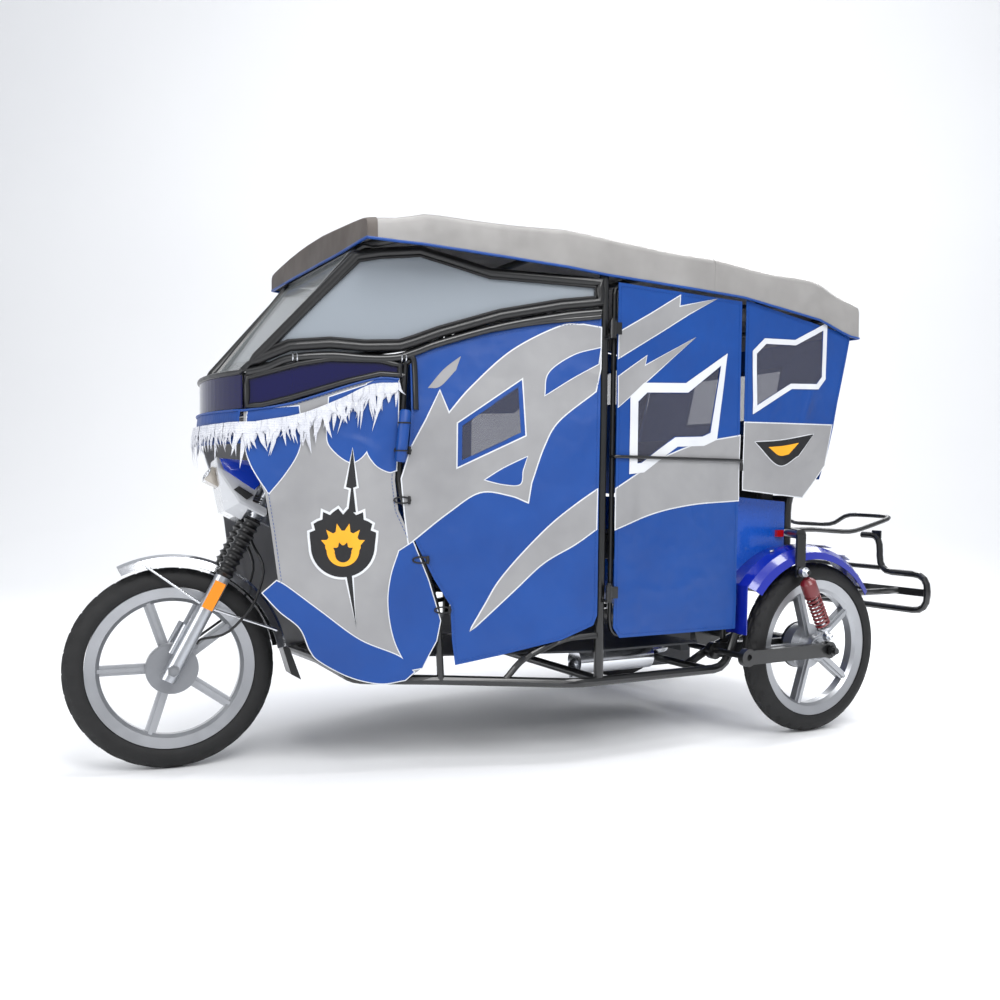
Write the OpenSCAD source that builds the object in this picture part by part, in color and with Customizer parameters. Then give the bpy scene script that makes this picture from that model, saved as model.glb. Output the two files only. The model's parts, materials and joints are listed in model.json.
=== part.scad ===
// Three-wheeled passenger auto rickshaw: motorcycle front end, tube cabin
// frame under sewn canvas sheets, sprung rear wheels and a luggage rack.
// X runs across, +X is the vehicle's left. -Y is the front. +Z is up.

/* [Overall] */
// Distance between the front and rear axles
wheelbase = 2026; // [1750:1:2400]
// Distance between the middles of the two rear tyres
rear_track = 1144; // [1060:1:1380]
// Width over the side sheets at the doors
cabin_w = 1132; // [1000:1:1160]
// Height of the roof's upper edge above the ground
roof_z = 1600; // [1450:1:1900]
// Width of the nose at the foot of the windshield
nose_w = 500; // [440:1:620]
// Distance from the front axle back to the foot of the windshield
nose_back = 148; // [60:1:220]
// Distance from the centre posts back to the rear axle
post_to_axle = 872; // [820:1:960]

/* [Wheels] */
// Outer diameter of every tyre
tyre_d = 590; // [560:1:610]
// Width of every tyre
tyre_w = 84; // [70:1:96]
// Diameter over the rim flanges
rim_d = 472; // [440:1:500]
// Width over the rim flanges
rim_w = 62; // [50:1:68]
// Number of cast spokes
spokes = 5; // [3:1:8]
// Diameter of the wheel axles
axle_d = 20; // [14:0.5:26]
// Gap between a spinning bore and its axle, on the radius
running_gap = 0.05; // [0.02:0.01:0.1]

/* [Steering] */
// Angle of the steering axis from the vertical
rake = 28; // [22:0.5:32]
// Distance of the axle ahead of the steering axis
fork_offset = 40; // [30:1:55]
// Distance between the two fork legs
fork_w = 190; // [170:1:220]
// Angle the steering stands at, positive to the left
steer_rest = -8.5; // [-20:0.5:20]
// Diameter of the upper fork tubes
stanchion_d = 33; // [27:1:37]
// Diameter of the lower fork legs
leg_d = 44; // [38:1:50]
// Distance along the fork from the axle to the lower crown
lower_crown = 500; // [460:1:520]
// Distance along the fork from the axle to the upper crown
upper_crown = 690; // [660:1:720]
// Length of the handlebar across its grips
handlebar_w = 500; // [420:1:520]

/* [Cabin] */
// Diameter of the cabin posts and the side rails
post_d = 30; // [24:1:36]
// Height of the middle of the side rails above the ground
rail_z = 246; // [225:1:290]
// Height of the floor's upper face
floor_z = 338; // [310:1:380]
// Thickness of the canvas sheets
canvas_t = 5; // [3:0.5:8]
// Thickness of the window panes
pane_t = 4; // [3:0.5:6]
// Length of a door along the vehicle
door_l = 516; // [460:1:520]
// Height of a door's lower edge
door_z = 378; // [360:1:460]
// Depth of the roof's hanging edge at the doors
valance = 126; // [100:1:150]
// Height of the roof's crown above its edges
crown = 28; // [10:1:60]
// Gap around a door
door_gap = 8; // [6:0.5:14]
// Diameter of the door hinge pins
hinge_pin_d = 12; // [8:0.5:16]
// Diameter of the door frame's tube
door_tube_d = 16; // [12:1:20]
// Width of the seat cushion
seat_w = 900; // [760:1:940]
// Width of the passenger tub
tub_w = 1000; // [920:1:1004]

/* [Suspension] */
// Distance from the rear axle forward to the swing arm pivot
arm_l = 368; // [320:1:400]
// Width of a swing arm's bar
arm_w = 24; // [18:1:28]
// Height of a swing arm's bar
arm_h = 46; // [36:1:56]
// Height of the shock absorbers' upper eye
shock_top_z = 566; // [540:1:600]
// Distance from the rear axle forward to the shocks' upper eye
shock_lean = 118; // [90:1:140]
// Radius of the rear fender's crown
fender_r = 356; // [345:1:365]

/* [Rear] */
// Distance from the rear axle back to the bumper
bumper_back = 588; // [540:1:680]
// Width over the bumper
bumper_w = 1220; // [1000:1:1300]
// Diameter of the bumper tube
bumper_d = 26; // [20:1:32]
// Width over the rack's side tubes
rack_w = 840; // [700:1:960]
// Diameter of the rack's mounting holes
rack_hole_d = 9; // [7:0.5:12]
// Distance between the rack's mounting holes across the vehicle
rack_hole_x = 400; // [300:1:520]
// Distance between the rack's mounting holes along the vehicle
rack_hole_y = 120; // [80:1:160]

/* [Hidden] */
$fn = 48;

gap = 0.3;                          // clearance between pieces that seat on each other
function under(d) = canvas_t + d / 2 + gap;   // depth of a tube that carries a sheet
eps = 1;                            // overshoot of a cut
axle_f = -wheelbase / 2;
axle_r = wheelbase / 2;
wheel_r = tyre_d / 2;
rim_r = rim_d / 2;
bumper_y = axle_r + bumper_back;
// the origin is half way between the front tyre and the bumper
mid_y = (bumper_y + bumper_d / 2 + axle_f - wheel_r * cos(steer_rest) - 3) / 2;

// side plane of the nose: runs forward from the centre post to the windshield's foot
side_x = cabin_w / 2;
post_y = axle_r - post_to_axle;     // middle of the centre post
post_x = side_x - post_d / 2 - 5;   // middle of the posts across the vehicle
plane_y = post_y - post_d / 2 - 1;
nose_x = nose_w / 2;
nose_y = axle_f + nose_back;
side_run = [nose_x - side_x, nose_y - plane_y];
side_len = norm(side_run);
side_ang = atan2(side_run[1], side_run[0]);
function fore(d) = side_len - d;    // a place on the side plane, measured from the nose
function on_side(s, in) = [side_x, plane_y] + s * side_run / side_len
    + in * [sin(side_ang), -cos(side_ang)];
function side_point(s, z, in) = [on_side(s, in)[0], on_side(s, in)[1], z];
function flip(p) = [-p[0], p[1], p[2]];

// ---- general shapes ----
function unit(v) = v / norm(v);
function bend(p, r, n = 4) = [
    p[0],
    for (i = [1 : len(p) - 2])
        let (a = unit(p[i - 1] - p[i]) * min(r, norm(p[i - 1] - p[i]) / 2.2),
             b = unit(p[i + 1] - p[i]) * min(r, norm(p[i + 1] - p[i]) / 2.2))
            for (k = [0 : n]) p[i] + pow(1 - k / n, 2) * a + pow(k / n, 2) * b,
    p[len(p) - 1]];

// the same for a closed path
function corners(p, r, n = 3) = [
    for (i = [0 : len(p) - 1])
        let (q = p[(i + len(p) - 1) % len(p)], t = p[(i + 1) % len(p)],
             a = unit(q - p[i]) * min(r, norm(q - p[i]) / 2.2),
             b = unit(t - p[i]) * min(r, norm(t - p[i]) / 2.2))
            for (k = [0 : n]) p[i] + pow(1 - k / n, 2) * a + pow(k / n, 2) * b];

module rod(a, b, d) {
    v = b - a;
    translate(a)
        rotate([0, acos(v[2] / norm(v)), atan2(v[1], v[0])])
            cylinder(d = d, h = norm(v));
}

// a tube bent along a path; "side" is any direction the path never runs along
module sweep(path, d, side = [0, 0, 1], sides = 10, closed = false) {
    n = len(path);
    tan = [for (i = [0 : n - 1])
        !closed && i == 0 ? unit(path[1] - path[0])
        : !closed && i == n - 1 ? unit(path[i] - path[i - 1])
        : unit(unit(path[(i + 1) % n] - path[i]) + unit(path[i] - path[(i + n - 1) % n]))];
    u = [for (t = tan) unit(cross(t, side))];
    points = [for (i = [0 : n - 1]) for (k = [0 : sides - 1])
        path[i] + d / 2 * (cos(360 * k / sides) * u[i] + sin(360 * k / sides) * cross(u[i], tan[i]))];
    walls = [for (i = [0 : closed ? n - 1 : n - 2]) for (k = [0 : sides - 1])
        let (j = (i + 1) % n, m = (k + 1) % sides)
            [i * sides + k, i * sides + m, j * sides + m, j * sides + k]];
    caps = closed ? [] : [[for (k = [sides - 1 : -1 : 0]) k], [for (k = [0 : sides - 1]) (n - 1) * sides + k]];
    polyhedron(points = points, faces = concat(walls, caps), convexity = 8);
}

// a frame tube with a bend at each corner
module run(points, d, side = [0.2, 0.35, 0.1]) sweep(bend(points, 1.6 * d, 3), d, side);

module both() {
    children();
    mirror([1, 0, 0]) children();
}

// a flat sheet on the nose's side plane, drawn as [distance forward, height]
module nose_sheet(t, in = 0) {
    translate([side_x, plane_y, 0])
        rotate([90, 0, side_ang])
            translate([0, 0, in]) linear_extrude(t) children();
}

// a flat sheet facing sideways, drawn as [y, z]; x is its inner face
module side_sheet(t, x) {
    translate([x, 0, 0]) rotate([90, 0, 90]) linear_extrude(t) children();
}

module at_origin() translate([0, -mid_y, 0]) children();

// ---- steering frame: z along the fork, y to the rear, origin at the hub ----
module steered() {
    translate([0, axle_f, wheel_r]) rotate([-rake, 0, 0])
        translate([0, fork_offset, 0]) rotate([0, 0, steer_rest])
            translate([0, -fork_offset, 0]) children();
}

// turned with the steering, but with the wheel's own level directions
module steered_level() steered() rotate([rake, 0, 0]) children();

// ---- wheels: spin axis along X, centred on the origin ----
bead_r = rim_r - 14;                // where the tyre's beads sit
bead_w = rim_w - 18;
module tyre() {
    color("#1b1b1d") rotate([0, 90, 0]) rotate_extrude($fn = 96) {
        difference() {
            union() {
                translate([wheel_r - tyre_w / 2, 0]) circle(d = tyre_w);
                translate([rim_r + gap, -tyre_w * 0.44]) square([wheel_r - tyre_w / 2 - rim_r, tyre_w * 0.88]);
            }
            translate([0, -tyre_w]) square([rim_r + gap, 2 * tyre_w]);
        }
        translate([bead_r, -bead_w / 2]) square([rim_r - bead_r + 2, bead_w]);
    }
}

module rim_profile() {
    bed = bead_r - gap;
    polygon([[bed - 16, -rim_w / 2 + 6], [bed, -rim_w / 2 + 9], [bed, rim_w / 2 - 9],
        [bed - 16, rim_w / 2 - 6], [bed - 26, rim_w / 2 - 16], [bed - 26, -rim_w / 2 + 16]]);
    for (s = [-1, 1])
        polygon([[bed - 16, s * (rim_w / 2 - 6)], [bed + 14, s * rim_w / 2], [bed + 14, s * (rim_w / 2 - 5)],
            [bed - 0.5, s * (rim_w / 2 - 7.6)], [bed - 8, s * (rim_w / 2 - 14)]]);
}

// hub_r and hub_w size the hub; drum faces +X when drum is 1 and -X when it is -1
module cast_wheel(hub_r, hub_w, drum_r, drum_w, drum) {
    spoke_in = hub_r - 6;
    spoke_out = rim_r - 30;
    color("#c9cbce") difference() {
        union() {
            rotate([0, 90, 0]) rotate_extrude($fn = 96) rim_profile();
            rotate([0, 90, 0]) cylinder(r = hub_r, h = hub_w, center = true);
            translate([drum * (hub_w / 2 - drum_w / 2 - gap), 0, 0])
                rotate([0, 90, 0]) cylinder(r = drum_r, h = drum_w, center = true, $fn = 72);
            for (i = [0 : spokes - 1]) rotate([90 + i * 360 / spokes, 0, 0]) {
                translate([-13, -15, spoke_in]) cube([26, 30, spoke_out - spoke_in]);
                translate([-20, -6, spoke_in]) cube([40, 12, spoke_out - spoke_in]);
            }
        }
        rotate([0, 90, 0]) cylinder(d = axle_d + 2 * running_gap, h = 3 * hub_w, center = true);
    }
}

front_hub_w = 104;
front_drum_r = 74;
rear_hub_w = 96;
rear_drum_r = 80;

module front_tyre() steered_level() tyre();
module front_rim() steered_level() cast_wheel(46, front_hub_w, front_drum_r, 34, 1);
module rear_left_tyre() translate([rear_track / 2, axle_r, wheel_r]) tyre();
module rear_left_rim() translate([rear_track / 2, axle_r, wheel_r])
    cast_wheel(44, rear_hub_w, rear_drum_r, 40, -1);
module rear_right_tyre() mirror([1, 0, 0]) rear_left_tyre();
module rear_right_rim() mirror([1, 0, 0]) rear_left_rim();

// ---- steering assembly ----
leg_top = 300;                      // top of the lower legs, along the fork
boot_d = 50;
crown_t = 24;
stem_d = 24;
head_tube_d = 44;

module fork() color("#b9bcc0") steered() {
    both() {
        difference() {
            union() {
                translate([fork_w / 2, 0, -34]) cylinder(d = leg_d, h = leg_top + 34);
                translate([fork_w / 2, -leg_d / 2 - 6, 40]) cylinder(d = 16, h = 90);
            }
            translate([fork_w / 2, 0, 0]) rotate([0, 90, 0])
                cylinder(d = axle_d + 2 * gap, h = 2 * leg_d, center = true);
        }
        translate([fork_w / 2, 0, leg_top - eps]) cylinder(d = stanchion_d, h = upper_crown - leg_top);
    }
    for (z = [lower_crown, upper_crown - crown_t]) difference() {
        union() {
            translate([-fork_w / 2, -boot_d / 2 - 5, z])
                cube([fork_w, boot_d / 2 + 5 + stanchion_d / 2 + 6, crown_t]);
            both() translate([fork_w / 2, 0, z]) cylinder(d = stanchion_d + 12, h = crown_t);
            translate([0, fork_offset, z]) cylinder(d = 52, h = crown_t);
        }
    }
    translate([0, fork_offset, lower_crown + eps])
        cylinder(d = stem_d, h = upper_crown - lower_crown - 2 * eps);
}

boot_ribs = 9;
boot_len = lower_crown - leg_top - 8;
module fork_boots() color("#151517") steered() both()
    translate([fork_w / 2, 0, leg_top + gap]) rotate_extrude($fn = 40)
        difference() {
            union() {
                translate([0, 0]) square([boot_d / 2 - 4, boot_len]);
                for (i = [0 : boot_ribs - 1])
                    translate([0, (i + 0.5) * boot_len / boot_ribs])
                        polygon([[0, -boot_len / boot_ribs * 0.4], [boot_d / 2 - 5, -boot_len / boot_ribs * 0.4],
                            [boot_d / 2 + 3, 0], [boot_d / 2 - 5, boot_len / boot_ribs * 0.4],
                            [0, boot_len / boot_ribs * 0.4]]);
            }
            translate([-eps, -eps]) square([stanchion_d / 2 + gap + eps, boot_len + 2 * eps]);
        }

bar_d = 22;
bar_rise = 62;
grip_sweep = 96;
module handlebar() color("#202124") steered() {
    half = handlebar_w / 2;
    foot = upper_crown + gap;
    both() translate([46, fork_offset - 16, foot]) cylinder(d = 26, h = bar_rise - 6);
    bar = [[-half, fork_offset - 16 + grip_sweep, foot + bar_rise - 30],
        [-half + 120, fork_offset - 16 + grip_sweep - 50, foot + bar_rise + 8],
        [-90, fork_offset - 16, foot + bar_rise], [90, fork_offset - 16, foot + bar_rise],
        [half - 120, fork_offset - 16 + grip_sweep - 50, foot + bar_rise + 8],
        [half, fork_offset - 16 + grip_sweep, foot + bar_rise - 30]];
    sweep(bend(bar, 40), bar_d);
    both() rod(bar[4] + 0.3 * (bar[5] - bar[4]), bar[5] + 0.02 * (bar[5] - bar[4]), 34);
    lever = bar[4] + 0.1 * (bar[5] - bar[4]);
    both() translate(lever + [-8, -42, -6]) cube([16, 44, 12]);
    both() rod(lever + [2, -36, 0], bar[5] + [-14, -62, 1], 9);
}

// the housing ahead of the upper fork tubes, with cheeks beside them
nacelle_z = 474;
cheek = fork_w / 2 + stanchion_d / 2 + 12;
module headlight_nacelle() color("#dfe1e3") steered() difference() {
    hull() {
        translate([-86, -84, nacelle_z]) cube([172, 60, 6]);
        translate([-cheek, -60, nacelle_z + 38]) cube([2 * cheek, 84, 8]);
        translate([-cheek + 16, -158, nacelle_z + 96]) cube([2 * cheek - 32, 150, 8]);
        translate([-76, -176, nacelle_z + 128]) cube([152, 120, 6]);
    }
    translate([-fork_w / 2 - stanchion_d / 2 - 8, -boot_d / 2 - 5 - gap, nacelle_z - 20])
        cube([fork_w + stanchion_d + 16, 200, 200]);
    translate([-62, -200, nacelle_z + 60]) cube([124, 130, 46]);
}

module headlamp() color("#d9d2c4") steered() {
    translate([0, -150, nacelle_z + 83]) intersection() {
        rotate([90, 0, 0]) translate([0, 0, -60]) cylinder(d1 = 60, d2 = 112, h = 84, $fn = 60);
        translate([-61, -80, -22.5]) cube([122, 140, 45]);
    }
}

guard_r = 334;
guard_w = 112;
guard_from = 8;
guard_to = 116;
guard_t = 2.5;
guard_end = [guard_r * cos(guard_from), guard_r * sin(guard_from) - gap];
module guard_profile(t) polygon([[guard_r - 30, guard_w / 2], [guard_r - 9, guard_w / 2 - 8],
    [guard_r, guard_w / 4], [guard_r, -guard_w / 4], [guard_r - 9, -guard_w / 2 + 8],
    [guard_r - 30, -guard_w / 2], [guard_r - 30, -guard_w / 2 + t], [guard_r - 9 - t, -guard_w / 2 + 8 + t],
    [guard_r - t, -guard_w / 4], [guard_r - t, guard_w / 4], [guard_r - 9 - t, guard_w / 2 - 8 - t],
    [guard_r - 30, guard_w / 2 - t]]);

// turns a profile drawn as [radius, x] from one angle to another about X;
// 0 degrees points to the rear and 90 degrees up
module arc_about_x(from, to) rotate([0, 0, 90]) rotate([90, 0, 0]) rotate([0, 0, from])
    rotate_extrude(angle = to - from, $fn = 96) children();

module front_mudguard() color("#d4d6d9") {
    steered_level() {
        arc_about_x(guard_from, guard_to) guard_profile(guard_t);
        both() rotate([-rake, 0, 0]) {
            foot = [fork_w / 2 - leg_d / 2 - gap, 0, 200];
            for (a = [18, 62, 104])
                rod([guard_w / 2 - 3, (guard_r - 18) * cos(a + rake), (guard_r - 18) * sin(a + rake)], foot - [8, 0, 0], 8);
            translate(foot - [14, 0, 0]) rotate([0, 90, 0]) cylinder(d = 14, h = 14);
        }
    }
}

module mud_flap() color("#161618") steered_level()
    rotate([90, 0, 90]) linear_extrude(guard_w - 8, center = true)
        polygon([guard_end + [6, -4], guard_end + [-14, -2], guard_end + [10, -86], guard_end + [40, -104]]);

module front_axle() color("#a9acb0") steered_level() {
    rotate([0, 90, 0]) cylinder(d = axle_d, h = fork_w + leg_d + 44, center = true);
    both() translate([fork_w / 2 + leg_d / 2 + gap, 0, 0]) rotate([0, 90, 0]) cylinder(d = 34, h = 14, $fn = 6);
    translate([front_hub_w / 2 + 1.5, 0, 0]) rotate([0, 90, 0]) cylinder(r = front_drum_r - 2, h = 10, $fn = 72);
    translate([-front_hub_w / 2 - 1.5, 0, 0]) rotate([0, -90, 0]) cylinder(d = drive_d, h = 12);
    rotate([-rake, 0, 0]) {
        rod([lever_tip[0], 8, 50], lever_tip, 11);
        translate(lever_tip) rotate([0, 90, 0]) cylinder(d = 14, h = 11, center = true);
    }
}

module fork_reflectors() color("#f08a14") steered() both()
    translate([fork_w / 2 + leg_d / 2 + gap, -16, 196]) cube([10, 32, 86]);

cable_d = 8;
lever_tip = [front_hub_w / 2 + 11, 28, 84];
drive_d = 40;
cable_path = [lever_tip + [0, 0, 7 + 2 * gap], lever_tip + [0, 0, 26], [80, 90, 150], [88, 120, 262], [84, 100, 380], [50, 14, 440],
    [50, 14, lower_crown - gap]];
speedo_path = [[-front_hub_w / 2 - 8, 0, drive_d / 2 + 2 * gap], [-front_hub_w / 2 - 8, 0, drive_d / 2 + 18], [-66, 40, 120], [-84, 110, 250], [-80, 90, 380],
    [-50, 14, 440], [-50, 14, lower_crown - gap]];
module front_cables() color("#141416") steered() {
    sweep(bend(cable_path, 40, 3), cable_d, [1, 0, 0], 8);
    sweep(bend(speedo_path, 40, 3), cable_d, [1, 0, 0], 8);
}

// ---- frame ----
axis_dir = [0, sin(rake), cos(rake)];
function on_axis(l) = [0, axle_f + fork_offset * cos(rake), wheel_r - fork_offset * sin(rake)] + l * axis_dir;
head_low = on_axis(lower_crown + crown_t + 4);
head_top = on_axis(upper_crown - crown_t - 4);
head_mid = (head_low + head_top) / 2;
spine_z = 560;
pivot_y = axle_r - arm_l;
pivot_x = rear_track / 2 + tyre_w / 2 + 48;
rail_x = side_x - 14;
rail_rear_y = axle_r - 330;
tower_y = axle_r - shock_lean;
beam_z = fender_r + 336;

rail_nose = side_point(fore(308), rail_z + 28, 24);
rail_bow = side_point(fore(520), rail_z + 20, 24);
rail_post = [rail_x, plane_y - 60, rail_z];
function rail_place(k) = rail_bow + k * (rail_post - rail_bow);

spine_d = 40;
spine_path = [head_mid + [0, 10, 0], [0, head_mid[1] + 300, spine_z + 40], [0, -180, spine_z - 60],
    [0, post_y + 120, spine_z - 70], [0, pivot_y - 90, floor_z - 40]];
seat_z = 566;
tub_t = 3;
module main_frame() color("#17181a") {
    difference() {
        union() {
            rod(head_low, head_top, head_tube_d);
            run(spine_path, spine_d);
            run([head_mid + [0, 6, -20], [0, axle_f + 440, floor_z - 50], [0, post_y, floor_z - 60],
                [0, pivot_y - 90, floor_z - 40]], 34);
        }
        rod(head_low - 20 * axis_dir, head_top + 20 * axis_dir, stem_d + 2 * running_gap);
    }
    both() run([[0, axle_f + 440, floor_z - 50], rail_nose, rail_bow, rail_post, [rail_x, rail_rear_y - 40, rail_z],
        [rail_x, rail_rear_y + 6, door_z - 20]], post_d);
    for (y = [post_y, pivot_y - 90]) rod([-rail_x, y, rail_z + 4], [rail_x, y, rail_z + 4], 26);
    rod([0, post_y, rail_z + 4], [0, post_y, floor_z - 60], 26);
    rod([0, pivot_y - 90, rail_z + 4], [0, pivot_y - 90, floor_z - 40], 26);
    both() run([[tail_x, pivot_y - 90, rail_z + 4], [tail_x, pivot_y, wheel_r],
        [tail_x, axle_r - 60, door_z + 26], [tail_x, axle_r + 20, beam_z - 60]], 28);
    for (y = [tub_y0 + 40, tub_y1 - 60]) {
        support = seat_z - 4 - gap - 10;
        both() rod([tail_x, y, wheel_r + 0.3 * (y - pivot_y)], [tail_x, y, support], 20);
        rod([-tail_x, y, support], [tail_x, y, support], 20);
    }
    both() run([[tail_x, axle_r - 40, 450], [tail_x, axle_r + 120, bumper_bar_z],
        [tail_x, bumper_y - 6 - gap, bumper_bar_z]], 26);
    rod([-pivot_x, pivot_y, wheel_r + 3], [pivot_x, pivot_y, wheel_r + 3], axle_d);
    both() run([rail_place(0.5), rail_place(0.62) + [0, 0, 70], side_point(100, floor_z + 44, under(20)),
        side_point(2, floor_z + 50, under(20))], 20);
}

pillar_s = fore(8);
pillar_foot = side_point(pillar_s, 1150, under(24));
roof_rail = [side_point(fore(318), roof_z - 78, under(24)),
    [side_x - 96, nose_y + 460, roof_z - 48], [side_x - 26, post_y - 140, roof_z - 44],
    [side_x - 16, axle_r - 456, roof_z - 58], [side_x - 16, axle_r - 20, roof_z - 80],
    [side_x - 16, axle_r + 150, roof_z - 142]];
rear_foot_y = axle_r - 30;
fender_out = rear_track / 2 + tyre_w / 2 + 18;
tower_x = fender_out + 3;
stud_d = 14;

module cabin_frame() color("#17181a") {
    both() {
        run(concat([pillar_foot], roof_rail), 24);
        rod([post_x, post_y, rail_z + 6], [post_x, post_y, roof_z - 50], post_d);
        run([[side_x - post_d / 2 - gap, axle_r + 150, roof_z - 142], [side_x - post_d / 2 - gap, axle_r + 50, 1060],
            [tub_w / 2 - 20, rear_foot_y, 810], [tub_w / 2 - 20, rear_foot_y, beam_z - 60]], post_d);
        run([side_point(fore(448), 1196, under(22)), side_point(fore(430), 860, under(22)),
            side_point(fore(548), 470, under(22)), side_point(fore(560), rail_z + 16, under(22))], 22);
        rod(side_point(pillar_s, 1150, under(22)), side_point(pillar_s, 1040, under(22)), 22);
        run([side_point(pillar_s, 1050, under(20)), side_point(fore(240), 1122, under(20)),
            side_point(fore(448), 1160, under(20))], 20);
        run([side_point(fore(448), 1196, under(20)), side_point(fore(620), 1290, under(20)),
            [post_x, post_y, 1352]], 20);
        rod([tub_w / 2 - 20, rear_foot_y, beam_z], [tower_x + 4, tower_y, beam_z], 34);
        translate([tower_x, tower_y - 20, shock_top_z - 18]) cube([8, 40, beam_z - shock_top_z + 18]);
        translate([tower_x + 4, tower_y, shock_top_z]) rotate([0, 90, 0]) cylinder(d = stud_d, h = 44);
        for (z = hinge_z) hinge_post(z);
    }
    rod(flip(roof_rail[0]), roof_rail[0], 24);
    for (i = [2, 4]) rod(flip(roof_rail[i]), roof_rail[i], 22);
    hoop = [for (k = [1, 0.5, 0, -0.5, -1]) abs(k) == 1 ? [k * roof_rail[3][0], roof_rail[3][1], roof_rail[3][2]]
        : [k * (roof_slices[3][1] - canvas_t), roof_slices[3][0],
            roof_slices[3][2] - canvas_t + (k == 0 ? 1 : 0.75) * crown - 11 - gap]];
    run(hoop, 22, [0, 1, 0]);
    rod(flip(roof_rail[5]), roof_rail[5], 22);
    rod(side_point(pillar_s, 1036, under(22)), flip(side_point(pillar_s, 1036, under(22))), 22);
    rod([-tub_w / 2 + 20, rear_foot_y, beam_z], [tub_w / 2 - 20, rear_foot_y, beam_z], 34);
    rod([-tub_w / 2 + 20, rear_foot_y, 810], [tub_w / 2 - 20, rear_foot_y, 810], 24);
}

// ---- doors, hung on pins ahead of their front edge ----
hinge_x = side_x + 18;
hinge_y = post_y + 9;
hinge_z = [500, 1300];
hinge_len = 44;
door_y0 = post_y + post_d / 2 + 12;
door_y1 = door_y0 + door_l;
door_top0 = roof_z - valance - 10;
door_top1 = roof_z - valance - 16;
door_tube_x = side_x - door_tube_d / 2 - 6;
sleeve_d = hinge_pin_d + 8;

// the post's arm with an upright pin
module hinge_post(z) {
    translate([post_x, post_y - 5, z - 8]) cube([hinge_x - post_x, 16, 8]);
    translate([hinge_x, hinge_y, z - 8]) cylinder(d = sleeve_d, h = 8);
    translate([hinge_x, hinge_y, z - eps]) cylinder(d = hinge_pin_d, h = hinge_len + 8);
}

// the door's sleeve and its leaf to the frame
module hinge_leaf(z) {
    difference() {
        union() {
            translate([hinge_x, hinge_y, z + gap]) cylinder(d = sleeve_d, h = hinge_len);
            translate([door_tube_x, door_y0 + 2, z + 4]) cube([hinge_x - door_tube_x + 8, 8, hinge_len - 8]);
            translate([hinge_x + 1, hinge_y + 2, z + 4]) cube([7, door_y0 + 4 - hinge_y, hinge_len - 8]);
        }
        translate([hinge_x, hinge_y, z - eps]) cylinder(d = hinge_pin_d + 2 * running_gap, h = hinge_len + 4);
    }
}

door_in = door_tube_d / 2;
door_loop = [[door_y0 + door_in, door_top0 - door_in], [door_y1 - door_in, door_top1 - door_in],
    [door_y1 - door_in, door_z + door_in], [door_y0 + 24, door_z + door_in],
    [door_y0 + door_in, door_z + 40]];
bar_z = 937;

module left_door_frame() color("#1a1b1d") {
    loop = [for (p = door_loop) [door_tube_x, p[0], p[1]]];
    sweep(corners(loop, 26), door_tube_d, [1, 0, 0], closed = true);
    rod([door_tube_x, door_y0 + door_in, bar_z], [door_tube_x, door_y1 - door_in, bar_z], 12);
    bar_x = side_x + canvas_t + 7;
    run([[door_tube_x, door_y0 + 3, bar_z], [bar_x, door_y0 + 3, bar_z], [bar_x, door_y1 - 5, bar_z],
        [bar_x, door_y1 - 5, bar_z - 34]], 10, [0.3, 0.2, 1]);
    rod([door_tube_x, door_y1 - 5, bar_z], [bar_x, door_y1 - 5, bar_z], 9);
    for (z = hinge_z) hinge_leaf(z);
}

door_window = [[75, 902], [75, 1115], [118, 1152], [280, 1161], [432, 1262], [392, 1013], [350, 996], [240, 990], [110, 906]];
module door_window_outline() polygon([for (p = door_window) [door_y0 + p[0], p[1]]]);

module left_door_canvas() color("#0b55ad") difference() {
    side_sheet(canvas_t, side_x) polygon([[door_y0 + 10, door_top0], [door_y1 - 11, door_top1],
        [door_y1 - 11, door_z], [door_y0 + 34, door_z], [door_y0 + 10, door_z + 32]]);
    translate([-eps, 0, 0]) side_sheet(canvas_t + 2 * eps, side_x) offset(delta = -14) door_window_outline();
    for (z = hinge_z) translate([side_x - eps, door_y0, z]) cube([canvas_t + 2 * eps, 14, hinge_len]);
}

module left_door_window() color("#b9c4cc", 0.5)
    side_sheet(canvas_t - 2, side_x + 1) offset(delta = -14 - gap) door_window_outline();

module right_door_frame() mirror([1, 0, 0]) left_door_frame();
module right_door_canvas() mirror([1, 0, 0]) left_door_canvas();
module right_door_window() mirror([1, 0, 0]) left_door_window();

// ---- floor, tub, seats ----
module floor_pan() color("#2a2c2f") {
    half = post_x - post_d / 2 - gap;
    toe = on_side(fore(470), 44);
    difference() {
        union() {
            translate([0, 0, floor_z - 6]) linear_extrude(6) polygon([[half, pivot_y - 100], [half, plane_y], toe,
                [80, axle_f + 560], [-80, axle_f + 560], [-toe[0], toe[1]], [-half, plane_y], [-half, pivot_y - 100]]);
            for (y = [plane_y + 40, pivot_y - 150])
                translate([-side_x + 60, y, floor_z - 30]) cube([2 * side_x - 120, 30, 25]);
        }
        translate([-30, axle_f, floor_z - 40]) cube([60, wheelbase, 60]);
    }
}

tub_y0 = pivot_y + 26;
tub_y1 = rear_foot_y - post_d / 2 - 16;
tub_top = 800;
module tub_side() polygon([[tub_y0, door_z + 8], [tub_y0 + 46, door_z + 2],
    [axle_r - 330, door_z + 20], [axle_r - 250, 560], [tub_y1, 640], [tub_y1, tub_top], [tub_y0, tub_top + 20]]);

module passenger_tub() color("#0e5ec2") {
    both() side_sheet(tub_t, tub_w / 2 - tub_t) tub_side();
    translate([-tub_w / 2, tub_y1 - tub_t, 640]) cube([tub_w, tub_t, tub_top - 640]);
    translate([-tub_w / 2, tub_y0, door_z + 8]) cube([tub_w, tub_t, 176]);
    translate([-tub_w / 2 + 1, tub_y0, 562]) cube([tub_w - 2, tub_y1 - tub_y0, tub_t]);
}

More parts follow.
